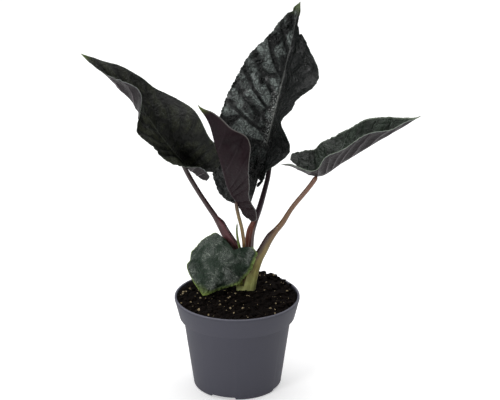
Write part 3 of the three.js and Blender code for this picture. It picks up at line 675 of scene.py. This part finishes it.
right_upper = dict(
    tall_upper, dark="#0b150c", light="#172316", painted_sheen="#3b4a3c",
    painted_sheen_halves=(0.6, 0.6), lobe_sheen=0.2, lobe_to=5, crease_shade=0.4,
    painted_glints=0, nets=0.5, vein="#7c8a7e", veins=0.6,
    margin="#93a08e", margins=0.9, margin_mm=(1.8, 1.8),
    tip="#8b9780", tip_from=98,
    smooth=0.38, rough=0.5, crinkle=3, shine=0.4, wax=0.05,
)
mature_under = dict(
    tall_upper, dark="#110a0d", light="#1b1318", painted_sheen="#292026",
    painted_sheen_halves=(0.2, 0.2), lobe_sheen=1, crease_shade=0.2, painted_glints=0,
    vein="#877e83", veins=0.7, unbroken=0.5, rib="#4a3f42", ribs=0.5, rib_width=2.4,
    margin="#83868a", margins=0.7,
    smooth=0.45, rough=0.58, crinkle=2, grain=0.15, shine=0.24, wax=0,
)
young_upper = dict(
    mature_under, dark="#0a0708", light="#120c0e", painted_sheen="#181114", vein="#2c2427",
    tip="#5f7030", tip_from=92,
)
young_under = dict(
    young_upper, dark="#13080c", light="#211118", painted_sheen="#2c1820",
    vein="#40333a", veins=0.3, rib="#33262b", margin="#77736e", crinkle=1.2, shine=0.18,
)
old_upper = dict(
    tall_upper, sizes=(12, 5, 1), dark="#1e3020", light="#36463a", painted_sheen="#8d928c",
    painted_sheen_halves=(0.95, 0.5), lobe_sheen=1, furrow_shade=-0.08, crease_shade=0.9,
    painted_glints=0, nets=0.9, vein="#b0b8ac", veins=0.7, rib="#8f998a", ribs=0.1,
    margin="#93ad55", margins=0.9, margin_mm=(4.5, 1.2),
    tip="#9ab24e", tip_from=24,
    smooth=0.4, rough=0.55, crinkle=8, shine=0.4, wax=0,
)
old_under = dict(old_upper, dark="#3b4a26", light="#5d6e3b", painted_sheen="#66774a")

mature_skin_below = leaf_skin("mature_leaf_under", mature_under)
SKINS = {
    "tall": [leaf_skin("glossy_leaf_upper", tall_upper), mature_skin_below],
    "left": [leaf_skin("black_leaf_upper", left_upper), mature_skin_below],
    "right": [leaf_skin("green_black_leaf_upper", right_upper), mature_skin_below],
    "young": [leaf_skin("young_leaf_upper", young_upper), leaf_skin("young_leaf_under", young_under)],
    "low": [leaf_skin("old_leaf_upper", old_upper), leaf_skin("old_leaf_under", old_under)],
}

# %% Grow the five blades
BLADE_SLOTS = {"young": "young_leaf_blade", "low": "old_leaf_blade"}
for name, skins in SKINS.items():
    stand_in(blade_body(name, skins), BLADE_SLOTS.get(name, "leaf_blade"), f"leaf_blade_{name}")

# %% [markdown]
# ## Stalks
#
# A leaf stalk is round above. Its lower half is a sheath: a channel with a thin wing on each side, which once
# wrapped the next leaf. So its outline changes along its length, and it is swept along a smooth line. A curve
# object with a bevel can't change its outline, so the sweep is written out as rings of points.

# %% The stalks' own measures
STALKS = {
    "tall": dict(
        line=[
            [11.4, 21, 96], [12, 22, 120], [13.4, 24, 142], [17, 26, 155.8], [21.9, 29, 169.3],
            [27.2, 35, 186.7], [30, 40, 197], [31.4, 44.5, 208], [30.8, 46.5, 219],
        ],
        radius=(4.6, 2.4), inward=[-0.8, -0.6, 0], sheath_top=0.45, wing=0.55,
    ),
    "left": dict(
        line=[
            [2.5, 15, 96], [0, 15, 118], [-3.3, 15.5, 131.4], [-7, 16, 138.3], [-11.6, 16, 146.4],
            [-16.4, 15, 156.6], [-21, 13.5, 166.4], [-27, 12.5, 176.1], [-35.6, 12, 190.3],
            [-43.4, 11, 204.5], [-47.6, 11.5, 213],
        ],
        radius=(4.2, 2.3), inward=[0.8, 0, 0.6], sheath_top=0.54, wing=1.45,
    ),
    "young": dict(
        line=[
            [6.4, 12.5, 98], [6.7, 12, 119.8], [6.7, 9.5, 138.2], [5.8, 8, 147.9], [4.2, 6, 158.4],
            [1.8, 4.5, 168.5], [-0.1, 3.4, 178],
        ],
        radius=(2, 1.7), inward=[0.5, 0.8, 0], sheath_top=0.3, wing=0.1,
    ),
    "right": dict(
        line=[
            [12, 13, 80], [12.6, 13, 92], [16, 12.5, 108], [20.5, 12, 121.8], [25.5, 12, 131.7],
            [30.3, 12, 141.4], [36.4, 12, 151.1], [43.3, 12, 159.9], [52.6, 12, 175.3],
            [66, 12, 192.6], [72, 12, 201],
        ],
        radius=(6, 2.3), inward=[-0.8, 0, 0.6], sheath_top=0.56, wing=0.8,
    ),
    "low": dict(
        line=[[1.6, 10, 97], [-4.9, 7.5, 107], [-10.6, 5, 115]],
        radius=(2.2, 1.7), inward=[0, 0.3, 1], sheath_top=0.3, wing=0.2,
    ),
}
SHEATH_SHOULDER = 0.09  # the share of a stalk's length over which its sheath ends
SLIM_FROM = 0.7  # the share of its length from which it is as thin as at its top
WING_AT = 0.75  # how far the wings are round from the middle of the channel, in radians
WING_WIDTH = 0.42
CHANNEL_WIDTH = 0.5
CHANNEL_DEPTH = 0.55  # as a share of the radius
STALK_SIDES = 40
STALK_STEPS = 110


# %% Sweep an outline along a line
def swept(line, inward, sides, steps, outline):
    """Points, faces and flat coordinates of a closed sweep. outline(share, angle) gives the radius."""
    path, travelled = measured_line(line)
    share = np.linspace(0, 1, steps + 1)
    place = place_on(path, travelled, share * travelled[-1])
    along = unit(np.gradient(place, axis=0))
    inward = np.asarray(inward, float)
    front = unit(inward - along * (along @ inward)[:, None])
    beside = np.cross(along, front)
    angle = np.linspace(0, 2 * np.pi, sides, endpoint=False)
    r = outline(share[:, None], angle[None, :])[..., None]
    ring = front[:, None] * np.cos(angle)[None, :, None] + beside[:, None] * np.sin(angle)[None, :, None]
    points, faces = closed(place[:, None] + ring * r, place[0], place[-1])
    turned = np.abs((angle + np.pi) % (2 * np.pi) - np.pi) / np.pi
    flat = np.stack(np.broadcast_arrays(turned[None, :], share[:, None]), -1).reshape(-1, 2)
    return points, faces, np.concatenate([flat, [[0.5, 0], [0.5, 1]]]), travelled[-1]


def round_tip(share, start):
    """1 up to the start, and then narrower, to end a sweep round."""
    return np.maximum(np.sqrt(1 - eased(share, start, 1.001) ** 2), 0.05)


def stalk_outline(stalk):
    foot, top = stalk["radius"]

    def outline(share, angle):
        radius = foot + (top - foot) * np.minimum(1, share / SLIM_FROM) ** 0.8
        sheath = 1 - eased(share, stalk["sheath_top"] - SHEATH_SHOULDER, stalk["sheath_top"])
        turn = np.minimum(angle, 2 * np.pi - angle)
        wing = stalk["wing"] * sheath * ridge(turn - WING_AT, WING_WIDTH)
        channel = CHANNEL_DEPTH * min(1, 2 * stalk["wing"]) * sheath * ridge(turn, CHANNEL_WIDTH)
        return radius * (1 + wing - channel) * round_tip(share, 0.97)

    return outline


# %% [markdown]
# ## The skin of a stalk
#
# A stalk's skin is smooth and a little glossy, with an IOR near 1.45 too. Its colour runs from green at the
# soil, through tan or plum, to a darker top, but the low leaf's stalk stays green. Fine streaks follow its
# length, drawn 0.5 mm wide and 12 mm long. Larger flecks, 1.6 mm by 5 mm, shift the colours along the stalk
# and vary the gloss. Inside the sheath the skin has a colour of its own.

# %% One recipe for every stalk skin
def stalk_skin(name, stops, length, radius, inside, sheath_top=0.5):
    """stops gives the colours from the foot to the top, and inside is the colour in the sheath."""
    finish, tree, shader = new_finish(name)
    flat = add(tree, "UVMap", uv_map="stalk")
    turned, height, _ = add(tree, "SeparateXYZ", {0: flat}).outputs
    patterns = []
    for wide, long, detail in ((0.5, 12, 3), (1.6, 5, 4)):
        size = (math.pi * radius / wide, length / long, 1)
        at = add(tree, "Mapping", {"Vector": flat, "Scale": size})
        patterns.append(add(tree, "TexNoise", {"Vector": at, "Scale": 1, "Detail": detail}))
    streak, fleck = patterns
    drift = add(tree, "Math", {0: fleck, 1: 0.16, 2: -0.08}, operation="MULTIPLY_ADD")
    height = add(tree, "Math", {0: height, 1: drift}, operation="ADD")
    ramp = add(tree, "ValToRGB", {"Fac": height})
    while len(ramp.color_ramp.elements) < len(stops):
        ramp.color_ramp.elements.new(0.5)
    for element, (at, shade) in zip(ramp.color_ramp.elements, stops.items()):
        element.position = at
        element.color = linear(shade)

    steps = {  # what is measured, from and to which value, and how strong the mark is at both
        "tone": ("LINEAR", streak, 0.3, 0.7, 0.72, 1.25),
        "in_channel": ("SMOOTHSTEP", turned, 0.25, 0.5, 1, 0),
        "below_top": ("LINEAR", height, sheath_top - 0.05, sheath_top + 0.02, 1, 0),
        "above_foot": ("LINEAR", height, 0.08, 0.35, 0, 1),
        "gloss": ("LINEAR", fleck, 0, 1, 0.32, 0.5),
    }
    mark = {}
    for kind, (how, measured, start, end, low, high) in steps.items():
        reach = {"Value": measured, "From Min": start, "From Max": end, "To Min": low, "To Max": high}
        mark[kind] = add(tree, "MapRange", reach, interpolation_type=how)
    toned = add(tree, "HueSaturation", {"Color": ramp, "Value": mark["tone"]})
    sheathed = mark["in_channel"]
    for kind in ("below_top", "above_foot"):
        sheathed = add(tree, "Math", {0: sheathed, 1: mark[kind]}, operation="MULTIPLY")
    paints = {"Factor": sheathed, MIX_A: toned, MIX_B: linear(inside)}
    painted = add(tree, "Mix", paints, data_type="RGBA").outputs[MIX_RESULT]
    bump = add(tree, "Bump", {"Height": streak, "Strength": 0.25, "Distance": 0.6 * MM})
    plug(tree, shader, {
        "Base Color": painted, "Roughness": mark["gloss"], "Normal": bump, "IOR": LEAF_IOR,
        "Coat Weight": 0.15,
    })
    return finish


# %% Grow the stalks up to their blades
STALK_COLOURS = {  # inside the sheath, and at shares of the stalk's length
    "tall": ("#743a28", {0: "#7a6a44", 0.1: "#5a2f26", 0.3: "#4c2a28", 0.5: "#33232b", 1: "#241c1d"}),
    "left": ("#59292f", {0: "#6e6a3c", 0.1: "#4e2628", 0.35: "#50292d", 0.6: "#3a2525", 1: "#2c2120"}),
    "young": ("#86603f", {0: "#7d7742", 0.15: "#6f4a36", 0.4: "#86603f", 0.75: "#857045", 1: "#4a3530"}),
    # The right stalk's foot is pale green of its own, painted paler still: painted light that lifts the shade
    # the leaves cast on it.
    "right": ("#3f2c28", {0: "#ccd08c", 0.13: "#bcc078", 0.25: "#978c50", 0.5: "#7c5f40", 1: "#7c5645"}),
    "low": ("#8a944e", {0: "#9aa55a", 1: "#7b8846"}),
}


def grow(name, skin_name, slot, node, sweep, stops, radius, *inside):
    """Sweeps one piece, gives it its skin and puts it in place of its CAD node."""
    points, faces, flat, length = swept(*sweep)
    skin = stalk_skin(skin_name, stops, length, sum(radius) / 2, *inside)
    stand_in(make_mesh(name, points, faces, [skin], maps={"stalk": flat}), slot, node)


for name, stalk in STALKS.items():
    joint, up, _ = midribs[name].frame(np.array([0.0]))
    line = [*stalk["line"], (joint - 0.5 * up)[0]]
    sweep = line, stalk["inward"], STALK_SIDES, STALK_STEPS, stalk_outline(stalk)
    inside, stops = STALK_COLOURS[name]
    look = stops, stalk["radius"], inside, stalk["sheath_top"]
    grow(f"stalk_{name}", f"{name}_stalk_skin", "leaf_stalk", f"leaf_stalk_{name}", sweep, *look)

# %% [markdown]
# ## The young shoot and the stem base
#
# The newest leaf is still rolled up as a thin yellow-green shoot. All the stalks rise from a stem base, a
# short column of old leaf feet pressed together, so its outline has five round ribs.

# %% Grow the shoot and the stem base
SHOOT_LINE = [
    [4, 10.5, 98], [4.2, 10, 114.4], [3.3, 9, 128.2], [2.2, 8, 137.8], [1, 7.5, 143.1],
    [-0.1, 7.2, 152.4], [0.2, 7.2, 162],
]
SHOOT_RADIUS = (1.9, 0.7)
STEM_BASE_LINE = [[6.6, 17, 70], [6.6, 17, 107]]
STEM_BASE_RADIUS = (9.6, 6.4)
RIBS = 5
RIB_DEPTH = 0.14
RIB_TURN = math.radians(-68)
SEAM_AT = 1.2  # where the shoot's rolled edge starts, in radians, and how far it winds round on the way up
SEAM_TURN = 2.2
SEAM_DEPTH = 0.16
SEAM_WIDTH = 0.22


def shoot_outline(share, angle):
    foot, top = SHOOT_RADIUS
    seam = 1 - SEAM_DEPTH * ridge(angle - SEAM_AT - SEAM_TURN * share, SEAM_WIDTH)
    return (foot + (top - foot) * share**1.5) * seam * round_tip(share, 0.9)


def stem_base_outline(share, angle):
    rounded = np.sqrt(np.maximum(0, 1 - eased(share, 0.75, 1.02)))
    foot, top = STEM_BASE_RADIUS
    return (foot + (top - foot) * share) * rounded * (1 + RIB_DEPTH * np.cos(RIBS * (angle - RIB_TURN)))


SHOOT_COLOURS = {0: "#8a9140", 0.5: "#6a7a2a", 1: "#52621f"}
# The stem base is pale yellow-green of its own, painted paler still: painted light that lifts the shade the
# leaves cast on it.
BASE_COLOURS = {0: "#d8dba2", 0.6: "#c8cd88", 1: "#a0a560"}
sweep = SHOOT_LINE, [0, -1, 0], 24, 60, shoot_outline
grow("shoot", "shoot_skin", "young_shoot", "young_shoot", sweep, SHOOT_COLOURS, SHOOT_RADIUS, "#8a9140")
sweep = STEM_BASE_LINE, [1, 0, 0], 90, 60, stem_base_outline
look = BASE_COLOURS, STEM_BASE_RADIUS, "#d8dba2"
grow("stem_base_skin", "stem_base_skin", "stem_base", "stem_base", sweep, *look)

# %% [markdown]
# ## The pot
#
# A nursery pot is polypropylene, moulded in one shot with a wall just over a millimetre thick. It is a turned
# shape, so its profile is spun round the axis. A screw modifier could do that too, but not raise the notches
# in the foot ring. The drain holes are cut with a boolean, as they are not on the axis.

# %% The pot's own measures
POT_TOP = 91
RIM_RADIUS = 60
RIM_DROP = 3  # how far down the rim's rounding reaches
LIP = 1.9
WALL = 1.3
COLLAR_FOOT = POT_TOP - 21
COLLAR_RADIUS = 55.5  # at its foot
LEDGE = 0.8
BODY_RADIUS = 51.6  # just under the collar
POT_BASE = 42.6
POT_EDGE = 2  # the rounding between base and body
FOOT = 2.6  # the height of the foot ring, on which the floor stands
FOOT_WIDTH = 3.2
CENTRE_FOOT = 9
FLOOR_THICK = 1.5
FLOOR = FOOT + FLOOR_THICK
NOTCHES = 4
NOTCH_SPAN = math.radians(33)
NOTCH_TURN = math.radians(-109.5)
DRAINS = 8
DRAIN_RADIUS = 3.5
DRAIN_CIRCLE = 30
POT_SIDES = 192


def corner(radius, height, wide, high, steps):
    """Points of a rounded stretch near a corner. Each step is counted in widths and in heights."""
    return [(radius + x * wide, height + y * high) for x, y in steps]


# %% Draw the pot's profile, from the middle of its underside round to its inside floor
foot_inside = POT_BASE - FOOT_WIDTH - POT_EDGE
quarter = [(math.cos(t), math.sin(t)) for t in np.linspace(-math.pi / 2, 0, 6)]
under_rim = [(-0.28, -1.3), (-0.1, -1), (0, -0.6), (0, -0.3), (-0.06, -0.1)]
over_rim = [(-0.25, 0), (-0.75, 0), (-1, -0.12), (-1.1, -0.4)]
profile = [
    (0, 0), (CENTRE_FOOT, 0), (CENTRE_FOOT + 0.4 * FOOT, FOOT), (foot_inside - 0.15 * FOOT, FOOT),
    (foot_inside, 0),
    *corner(POT_BASE - POT_EDGE, POT_EDGE, POT_EDGE, POT_EDGE, quarter),
    *corner(BODY_RADIUS, COLLAR_FOOT, LEDGE, LEDGE, [(0, -1.5), (0.15, -0.8), (0.6, -0.25)]),
    *corner(COLLAR_RADIUS, COLLAR_FOOT, LEDGE, LEDGE, [(-1.6, -0.1), (-0.5, 0.25), (0, 1.1)]),
    *corner(RIM_RADIUS, POT_TOP, LIP, RIM_DROP, under_rim + over_rim),
    (COLLAR_RADIUS - WALL, COLLAR_FOOT + 1.5 * WALL), (BODY_RADIUS - WALL, COLLAR_FOOT - WALL),
    (POT_BASE - WALL, FLOOR), (0, FLOOR),
]

# %% Spin the profile, with notches in the foot ring
turns = np.linspace(0, 2 * np.pi, POT_SIDES, endpoint=False)
to_notch = np.abs((turns - NOTCH_TURN + np.pi / NOTCHES) % (2 * np.pi / NOTCHES) - np.pi / NOTCHES)
radius, height = np.array(profile[1:-1]).T[..., None]
on_foot = (radius > CENTRE_FOOT + 2) & (height < FOOT)
raised = np.where(on_foot & (to_notch < NOTCH_SPAN / 2), FOOT, height)
rings = np.stack([radius * np.cos(turns), radius * np.sin(turns), raised], -1)
pot_points, pot_faces = closed(rings, [0, 0, profile[0][1]], [0, 0, profile[-1][1]])
print("profile points:", len(profile))

# %% [markdown]
# ### Moulded polypropylene
#
# The mould leaves the plastic matt, with a grain of a fraction of a millimetre. It is drawn at 0.7 mm, as
# coarse as it has to be to show. A slow change of tone, some 40 mm wide, stands for the dust and handling
# that a pot gets, and the top of its lip is paler. The IOR of polypropylene is 1.49.

# %% The pot's finish
POT_GRAIN = 0.7
POT_HANDLING = 40


def moulded_polypropylene():
    finish, tree, shader = new_finish("moulded_polypropylene")
    place = add(tree, "TexCoord").outputs["Object"]
    handling = add(tree, "TexNoise", {"Vector": place, "Scale": 1 / (POT_HANDLING * MM), "Detail": 3})
    grain = add(tree, "TexNoise", {"Vector": place, "Scale": 1 / (POT_GRAIN * MM), "Detail": 2})
    height = add(tree, "SeparateXYZ", {0: place}).outputs["Z"]
    reach = {"Value": height, "From Min": (POT_TOP - 1.2) * MM, "From Max": POT_TOP * MM}
    lip = add(tree, "MapRange", reach)
    colour = linear("#3a3a45")
    for amount, shade in ((handling, "#40404c"), (lip, "#6f6f7b")):
        paints = {"Factor": amount, MIX_A: colour, MIX_B: linear(shade)}
        colour = add(tree, "Mix", paints, data_type="RGBA").outputs[MIX_RESULT]
    gloss = add(tree, "MapRange", {"Value": handling, "To Min": 0.6, "To Max": 0.72})
    bump = add(tree, "Bump", {"Height": grain, "Strength": 0.25, "Distance": 0.3 * MM})
    plug(tree, shader, {"Base Color": colour, "Roughness": gloss, "Normal": bump, "IOR": 1.49})
    return finish


# %% Make the pot and drill its drain holes
pot = make_mesh("pot_body", pot_points, pot_faces, [moulded_polypropylene()])
for k in range(DRAINS):
    turn = NOTCH_TURN + 2 * math.pi * (k + 0.5) / DRAINS
    place = (DRAIN_CIRCLE * math.cos(turn), DRAIN_CIRCLE * math.sin(turn), FLOOR - FLOOR_THICK / 2)
    bpy.ops.mesh.primitive_cylinder_add(
        vertices=24, radius=DRAIN_RADIUS * MM, depth=4 * FLOOR_THICK * MM, location=Vector(place) * MM
    )
    cutter = bpy.context.object
    cut = pot.modifiers.new("drain hole", "BOOLEAN")
    cut.operation = "DIFFERENCE"
    cut.object = cutter
    bpy.context.view_layer.objects.active = pot
    bpy.ops.object.modifier_apply(modifier=cut.name)
    bpy.data.objects.remove(cutter)
pot.data.set_sharp_from_angle(angle=math.radians(35))
stand_in(pot, "pot", "pot")

# %% [markdown]
# ## The soil
#
# Potting mix is peat, in dark crumbs of one to five millimetres and a few larger clods, with pale grit in it.
# The surface is a fine round grid, raised by noise at three sizes. Loose crumbs and grit are small rocks,
# each one a ball of few faces that is squashed and pushed about. All the crumbs are one mesh, and all the
# grit is another.

# %% The soil's own measures
SOIL_EDGE = 89.7
SOIL_CROWN = 1.6
SOIL_LUMP = 1.1
HEAP_AT = (20, 50)  # where the soil is heaped up against the rim, at the back
HEAP_WIDTH = 30
HEAP_HEIGHT = 4.5
SOIL_RINGS = 100
SOIL_SIDES = 240
SOIL_CLEAR = WALL + 0.45  # from the pot's outside to the soil
CRUMB_NOISE = ((11, 1.7, 1.6), (5, 3.1, 1.6), (1.8, 7.7, 0.8))  # its size, its layer and how high it lifts
CRUMB_SINK = 0.6
rim_inside = RIM_RADIUS - LIP - 0.9


def soil_height(x, y):
    """The soil's height as in the CAD model, before crumbs are added."""
    far = math.hypot(x, y) / RIM_RADIUS
    rough = math.sin(0.31 * x + 1.3) * math.cos(0.27 * y) + 0.7 * math.sin(0.63 * x - 0.52 * y + 0.6)
    heap = HEAP_HEIGHT * math.exp(-((x - HEAP_AT[0]) ** 2 + (y - HEAP_AT[1]) ** 2) / HEAP_WIDTH**2)
    return SOIL_EDGE + SOIL_CROWN * (1 - far**2) + SOIL_LUMP * rough * (1 - 0.5 * far**4) + heap


def crumbled(x, y):
    """The soil's height with its crumbs."""
    height = soil_height(x, y)
    for size, layer, lift in CRUMB_NOISE:
        height += lift * noise.noise(Vector((x / size, y / size, layer)))
    return height - CRUMB_SINK


# %% Spread the soil
sides = [
    (POT_BASE - SOIL_CLEAR, FLOOR + 0.3), (BODY_RADIUS - SOIL_CLEAR, COLLAR_FOOT - WALL - 0.3),
    (COLLAR_RADIUS - SOIL_CLEAR, COLLAR_FOOT + 1.5 * WALL + 0.3),
]
circle = [(math.cos(t), math.sin(t)) for t in np.linspace(0, 2 * np.pi, SOIL_SIDES, endpoint=False)]
rings = [[(radius * c, radius * s, height) for c, s in circle] for radius, height in sides]
for radius in rim_inside * (1 - np.arange(SOIL_RINGS) / SOIL_RINGS):
    rings.append([(radius * c, radius * s, crumbled(radius * c, radius * s)) for c, s in circle])
soil_points, soil_faces = closed(rings, [0, 0, sides[0][1]], [0, 0, crumbled(0, 0)])
print("soil rings:", len(rings))


# %% The soil's finishes
def crumbly(name, dark, light, cell, roughness):
    """A rough, earthy finish: two tones by noise at the size of a crumb."""
    finish, tree, shader = new_finish(name)
    place = add(tree, "TexCoord").outputs["Object"]
    tone = add(tree, "TexNoise", {"Vector": place, "Scale": 1 / (cell * MM), "Detail": 5})
    spread = add(tree, "MapRange", {"Value": tone, "From Min": 0.35, "From Max": 0.7})
    paints = {"Factor": spread, MIX_A: linear(dark), MIX_B: linear(light)}
    colour = add(tree, "Mix", paints, data_type="RGBA").outputs[MIX_RESULT]
    bump = add(tree, "Bump", {"Height": tone, "Strength": 0.8, "Distance": 0.8 * MM})
    plug(tree, shader, {
        "Base Color": colour, "Roughness": roughness, "Normal": bump, "Specular IOR Level": 0.12,
    })
    return finish


moist_peat = crumbly("moist_peat", "#060404", "#18110d", 2.2, 0.95)
peat_crumb = crumbly("peat_crumb", "#070505", "#1f1712", 3, 0.95)
pumice_grit = crumbly("pumice_grit", "#8f7b58", "#cfc0a0", 1.5, 0.85)
soil = make_mesh("soil_bed", soil_points, soil_faces, [moist_peat])
stand_in(soil, "soil", "soil")

# %% Scatter crumbs and grit
CRUMBS = 1500
GRIT = 230
RIM_CLEAR = 1.5  # from the rim to the middle of the nearest crumb
CLODS = (  # the largest crumbs, which show over the rim, as x, y and radius
    (33, 45, 4.2), (26, 50, 3.2), (38, 42, 2.8), (46, 36, 2.6), (52, 26, 2.2), (-57, 8, 2), (-56, 2, 1.6),
    (-20, 44, 2.6), (14, -46, 2.4),
)
chance = np.random.default_rng(7)

RING = (0.89, 0.89, 0.45)  # a rock starts as a ball of 20 faces: two ends, and two rings of five corners
fifths = np.arange(5) * 2 * math.pi / 5
upper_ring = [(math.cos(turn), math.sin(turn), 1) for turn in fifths]
lower_ring = [(math.cos(turn), math.sin(turn), -1) for turn in fifths + math.pi / 5]
ROCK = np.vstack([[0, 0, 1], upper_ring * np.array(RING), lower_ring * np.array(RING), [0, 0, -1]])
ROCK_FACES = []
for a, b in ((1, 2), (2, 3), (3, 4), (4, 5), (5, 1)):
    ROCK_FACES += [(0, a, b), (a, a + 5, b), (b, a + 5, b + 5), (11, b + 5, a + 5)]


def rock_at(x, y, radius, sunk):
    """One small rock of random shape on the soil."""
    stretch = np.array([1, 0.7, 0.6]) + np.array([0.5, 0.3, 0.3]) * chance.random(3)
    rock = ROCK * radius * stretch * (0.8 + 0.4 * chance.random((12, 1)))
    spin = 2 * math.pi * chance.random()
    c, s = math.cos(spin), math.sin(spin)
    rock = rock @ np.array([[c, s, 0], [-s, c, 0], [0, 0, 1]])
    return rock + [x, y, crumbled(x, y) + radius * sunk]


def scatter(count, sizes, power, sunk, leftward=0):
    """Rocks on the soil: sizes are the least and greatest radius, and a high power makes most small."""
    rocks = []
    while len(rocks) < count:
        far = (rim_inside - RIM_CLEAR) * math.sqrt(chance.random())
        t = 2 * math.pi * chance.random()
        x, y = far * math.cos(t), far * math.sin(t)
        if chance.random() < leftward * (x / rim_inside + 1) / 2:
            continue
        rocks.append(rock_at(x, y, sizes[0] + (sizes[1] - sizes[0]) * chance.random() ** power, sunk))
    return rocks


def joined(rocks):
    """All rocks as one list of points and one of faces."""
    faces = [[place + n * len(ROCK) for place in face] for n in range(len(rocks)) for face in ROCK_FACES]
    return np.concatenate(rocks), faces


crumbs = scatter(CRUMBS, (0.5, 2.6), 2.2, 0.15) + [rock_at(*clod, 0.1) for clod in CLODS]
grit = scatter(GRIT, (0.3, 1.35), 2.2, 0.4, 0.8)
for name, rocks, finish in (("soil_crumbs", crumbs, peat_crumb), ("soil_grit", grit, pumice_grit)):
    piece = make_mesh(name, *joined(rocks), [finish])
    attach(piece, "root")
    print(name, "has", len(rocks), "rocks")

# %% [markdown]
# ## Floor, light and camera
#
# The plant stands on a plain white floor in soft studio light. Dark glossy leaves show mostly what they
# mirror, so the light decides their look: a square window from the left and front gives the broad grey sheen,
# a wide ceiling lights the floor, and a dim room keeps the rest of the leaf nearly black.

# %% Floor
bpy.ops.mesh.primitive_plane_add(size=14, location=(0, 0, 0))
floor = bpy.context.object
floor.name = "floor"
white = linear("#ffffff")
white_card, card_tree, card = new_finish("white_card")
plug(card_tree, card, {
    "Base Color": linear("#fbfbfb"), "Roughness": 0.9, "Specular IOR Level": 0.1, "Emission Color": white,
    "Emission Strength": 0.4,
})
floor.data.materials.append(white_card)

# %% Light
scene = bpy.context.scene
scene.view_settings.view_transform = "Standard"
world = bpy.data.worlds.new("studio")
scene.world = world
world.use_nodes = True
room = world.node_tree
room_light = room.nodes["Background"]
plug(room, room_light, {"Color": white, "Strength": 0.1})
backdrop = add(room, "Background", {"Color": white, "Strength": 1})
seen = add(room, "LightPath").outputs["Is Camera Ray"]
both = add(room, "MixShader", {0: seen, 1: room_light, 2: backdrop})
plug(room, room.nodes["World Output"], {"Surface": both})


def aimed(name, data, place, aim):
    """A lamp or a camera at its place, pointed at its aim."""
    holder = bpy.data.objects.new(name, data)
    holder.location = place
    holder.rotation_euler = (Vector(aim) - Vector(place)).to_track_quat("-Z", "Y").to_euler()
    scene.collection.objects.link(holder)
    return holder


SOFTBOXES = {  # place, aim, width and height in metres, and power in watts
    "window": ((-1.4, -1.5, 0.9), (0, 0, 0.22), 0.6, 0.6, 14),
    "ceiling": ((0, 0.8, 1.8), (0, 0.8, 0), 3.4, 2.8, 50),
}
for name, (place, aim, width, height, power) in SOFTBOXES.items():
    lamp = bpy.data.lights.new(name, "AREA")
    lamp.shape = "RECTANGLE"
    lamp.size = width
    lamp.size_y = height
    lamp.energy = power
    aimed(name, lamp, place, aim)

# %% Camera
CAMERA_AT = (0, -1.220, 0.612)
LOOKS_AT = (0.0123, 0, 0.187)
FOCAL_PIXELS = 1380
PICTURE_WIDTH = 500
lens = bpy.data.cameras.new("camera")
lens.sensor_width = 36
lens.lens = FOCAL_PIXELS * lens.sensor_width / PICTURE_WIDTH
scene.camera = aimed("camera", lens, CAMERA_AT, LOOKS_AT)
print("lens:", round(lens.lens, 1), "mm")
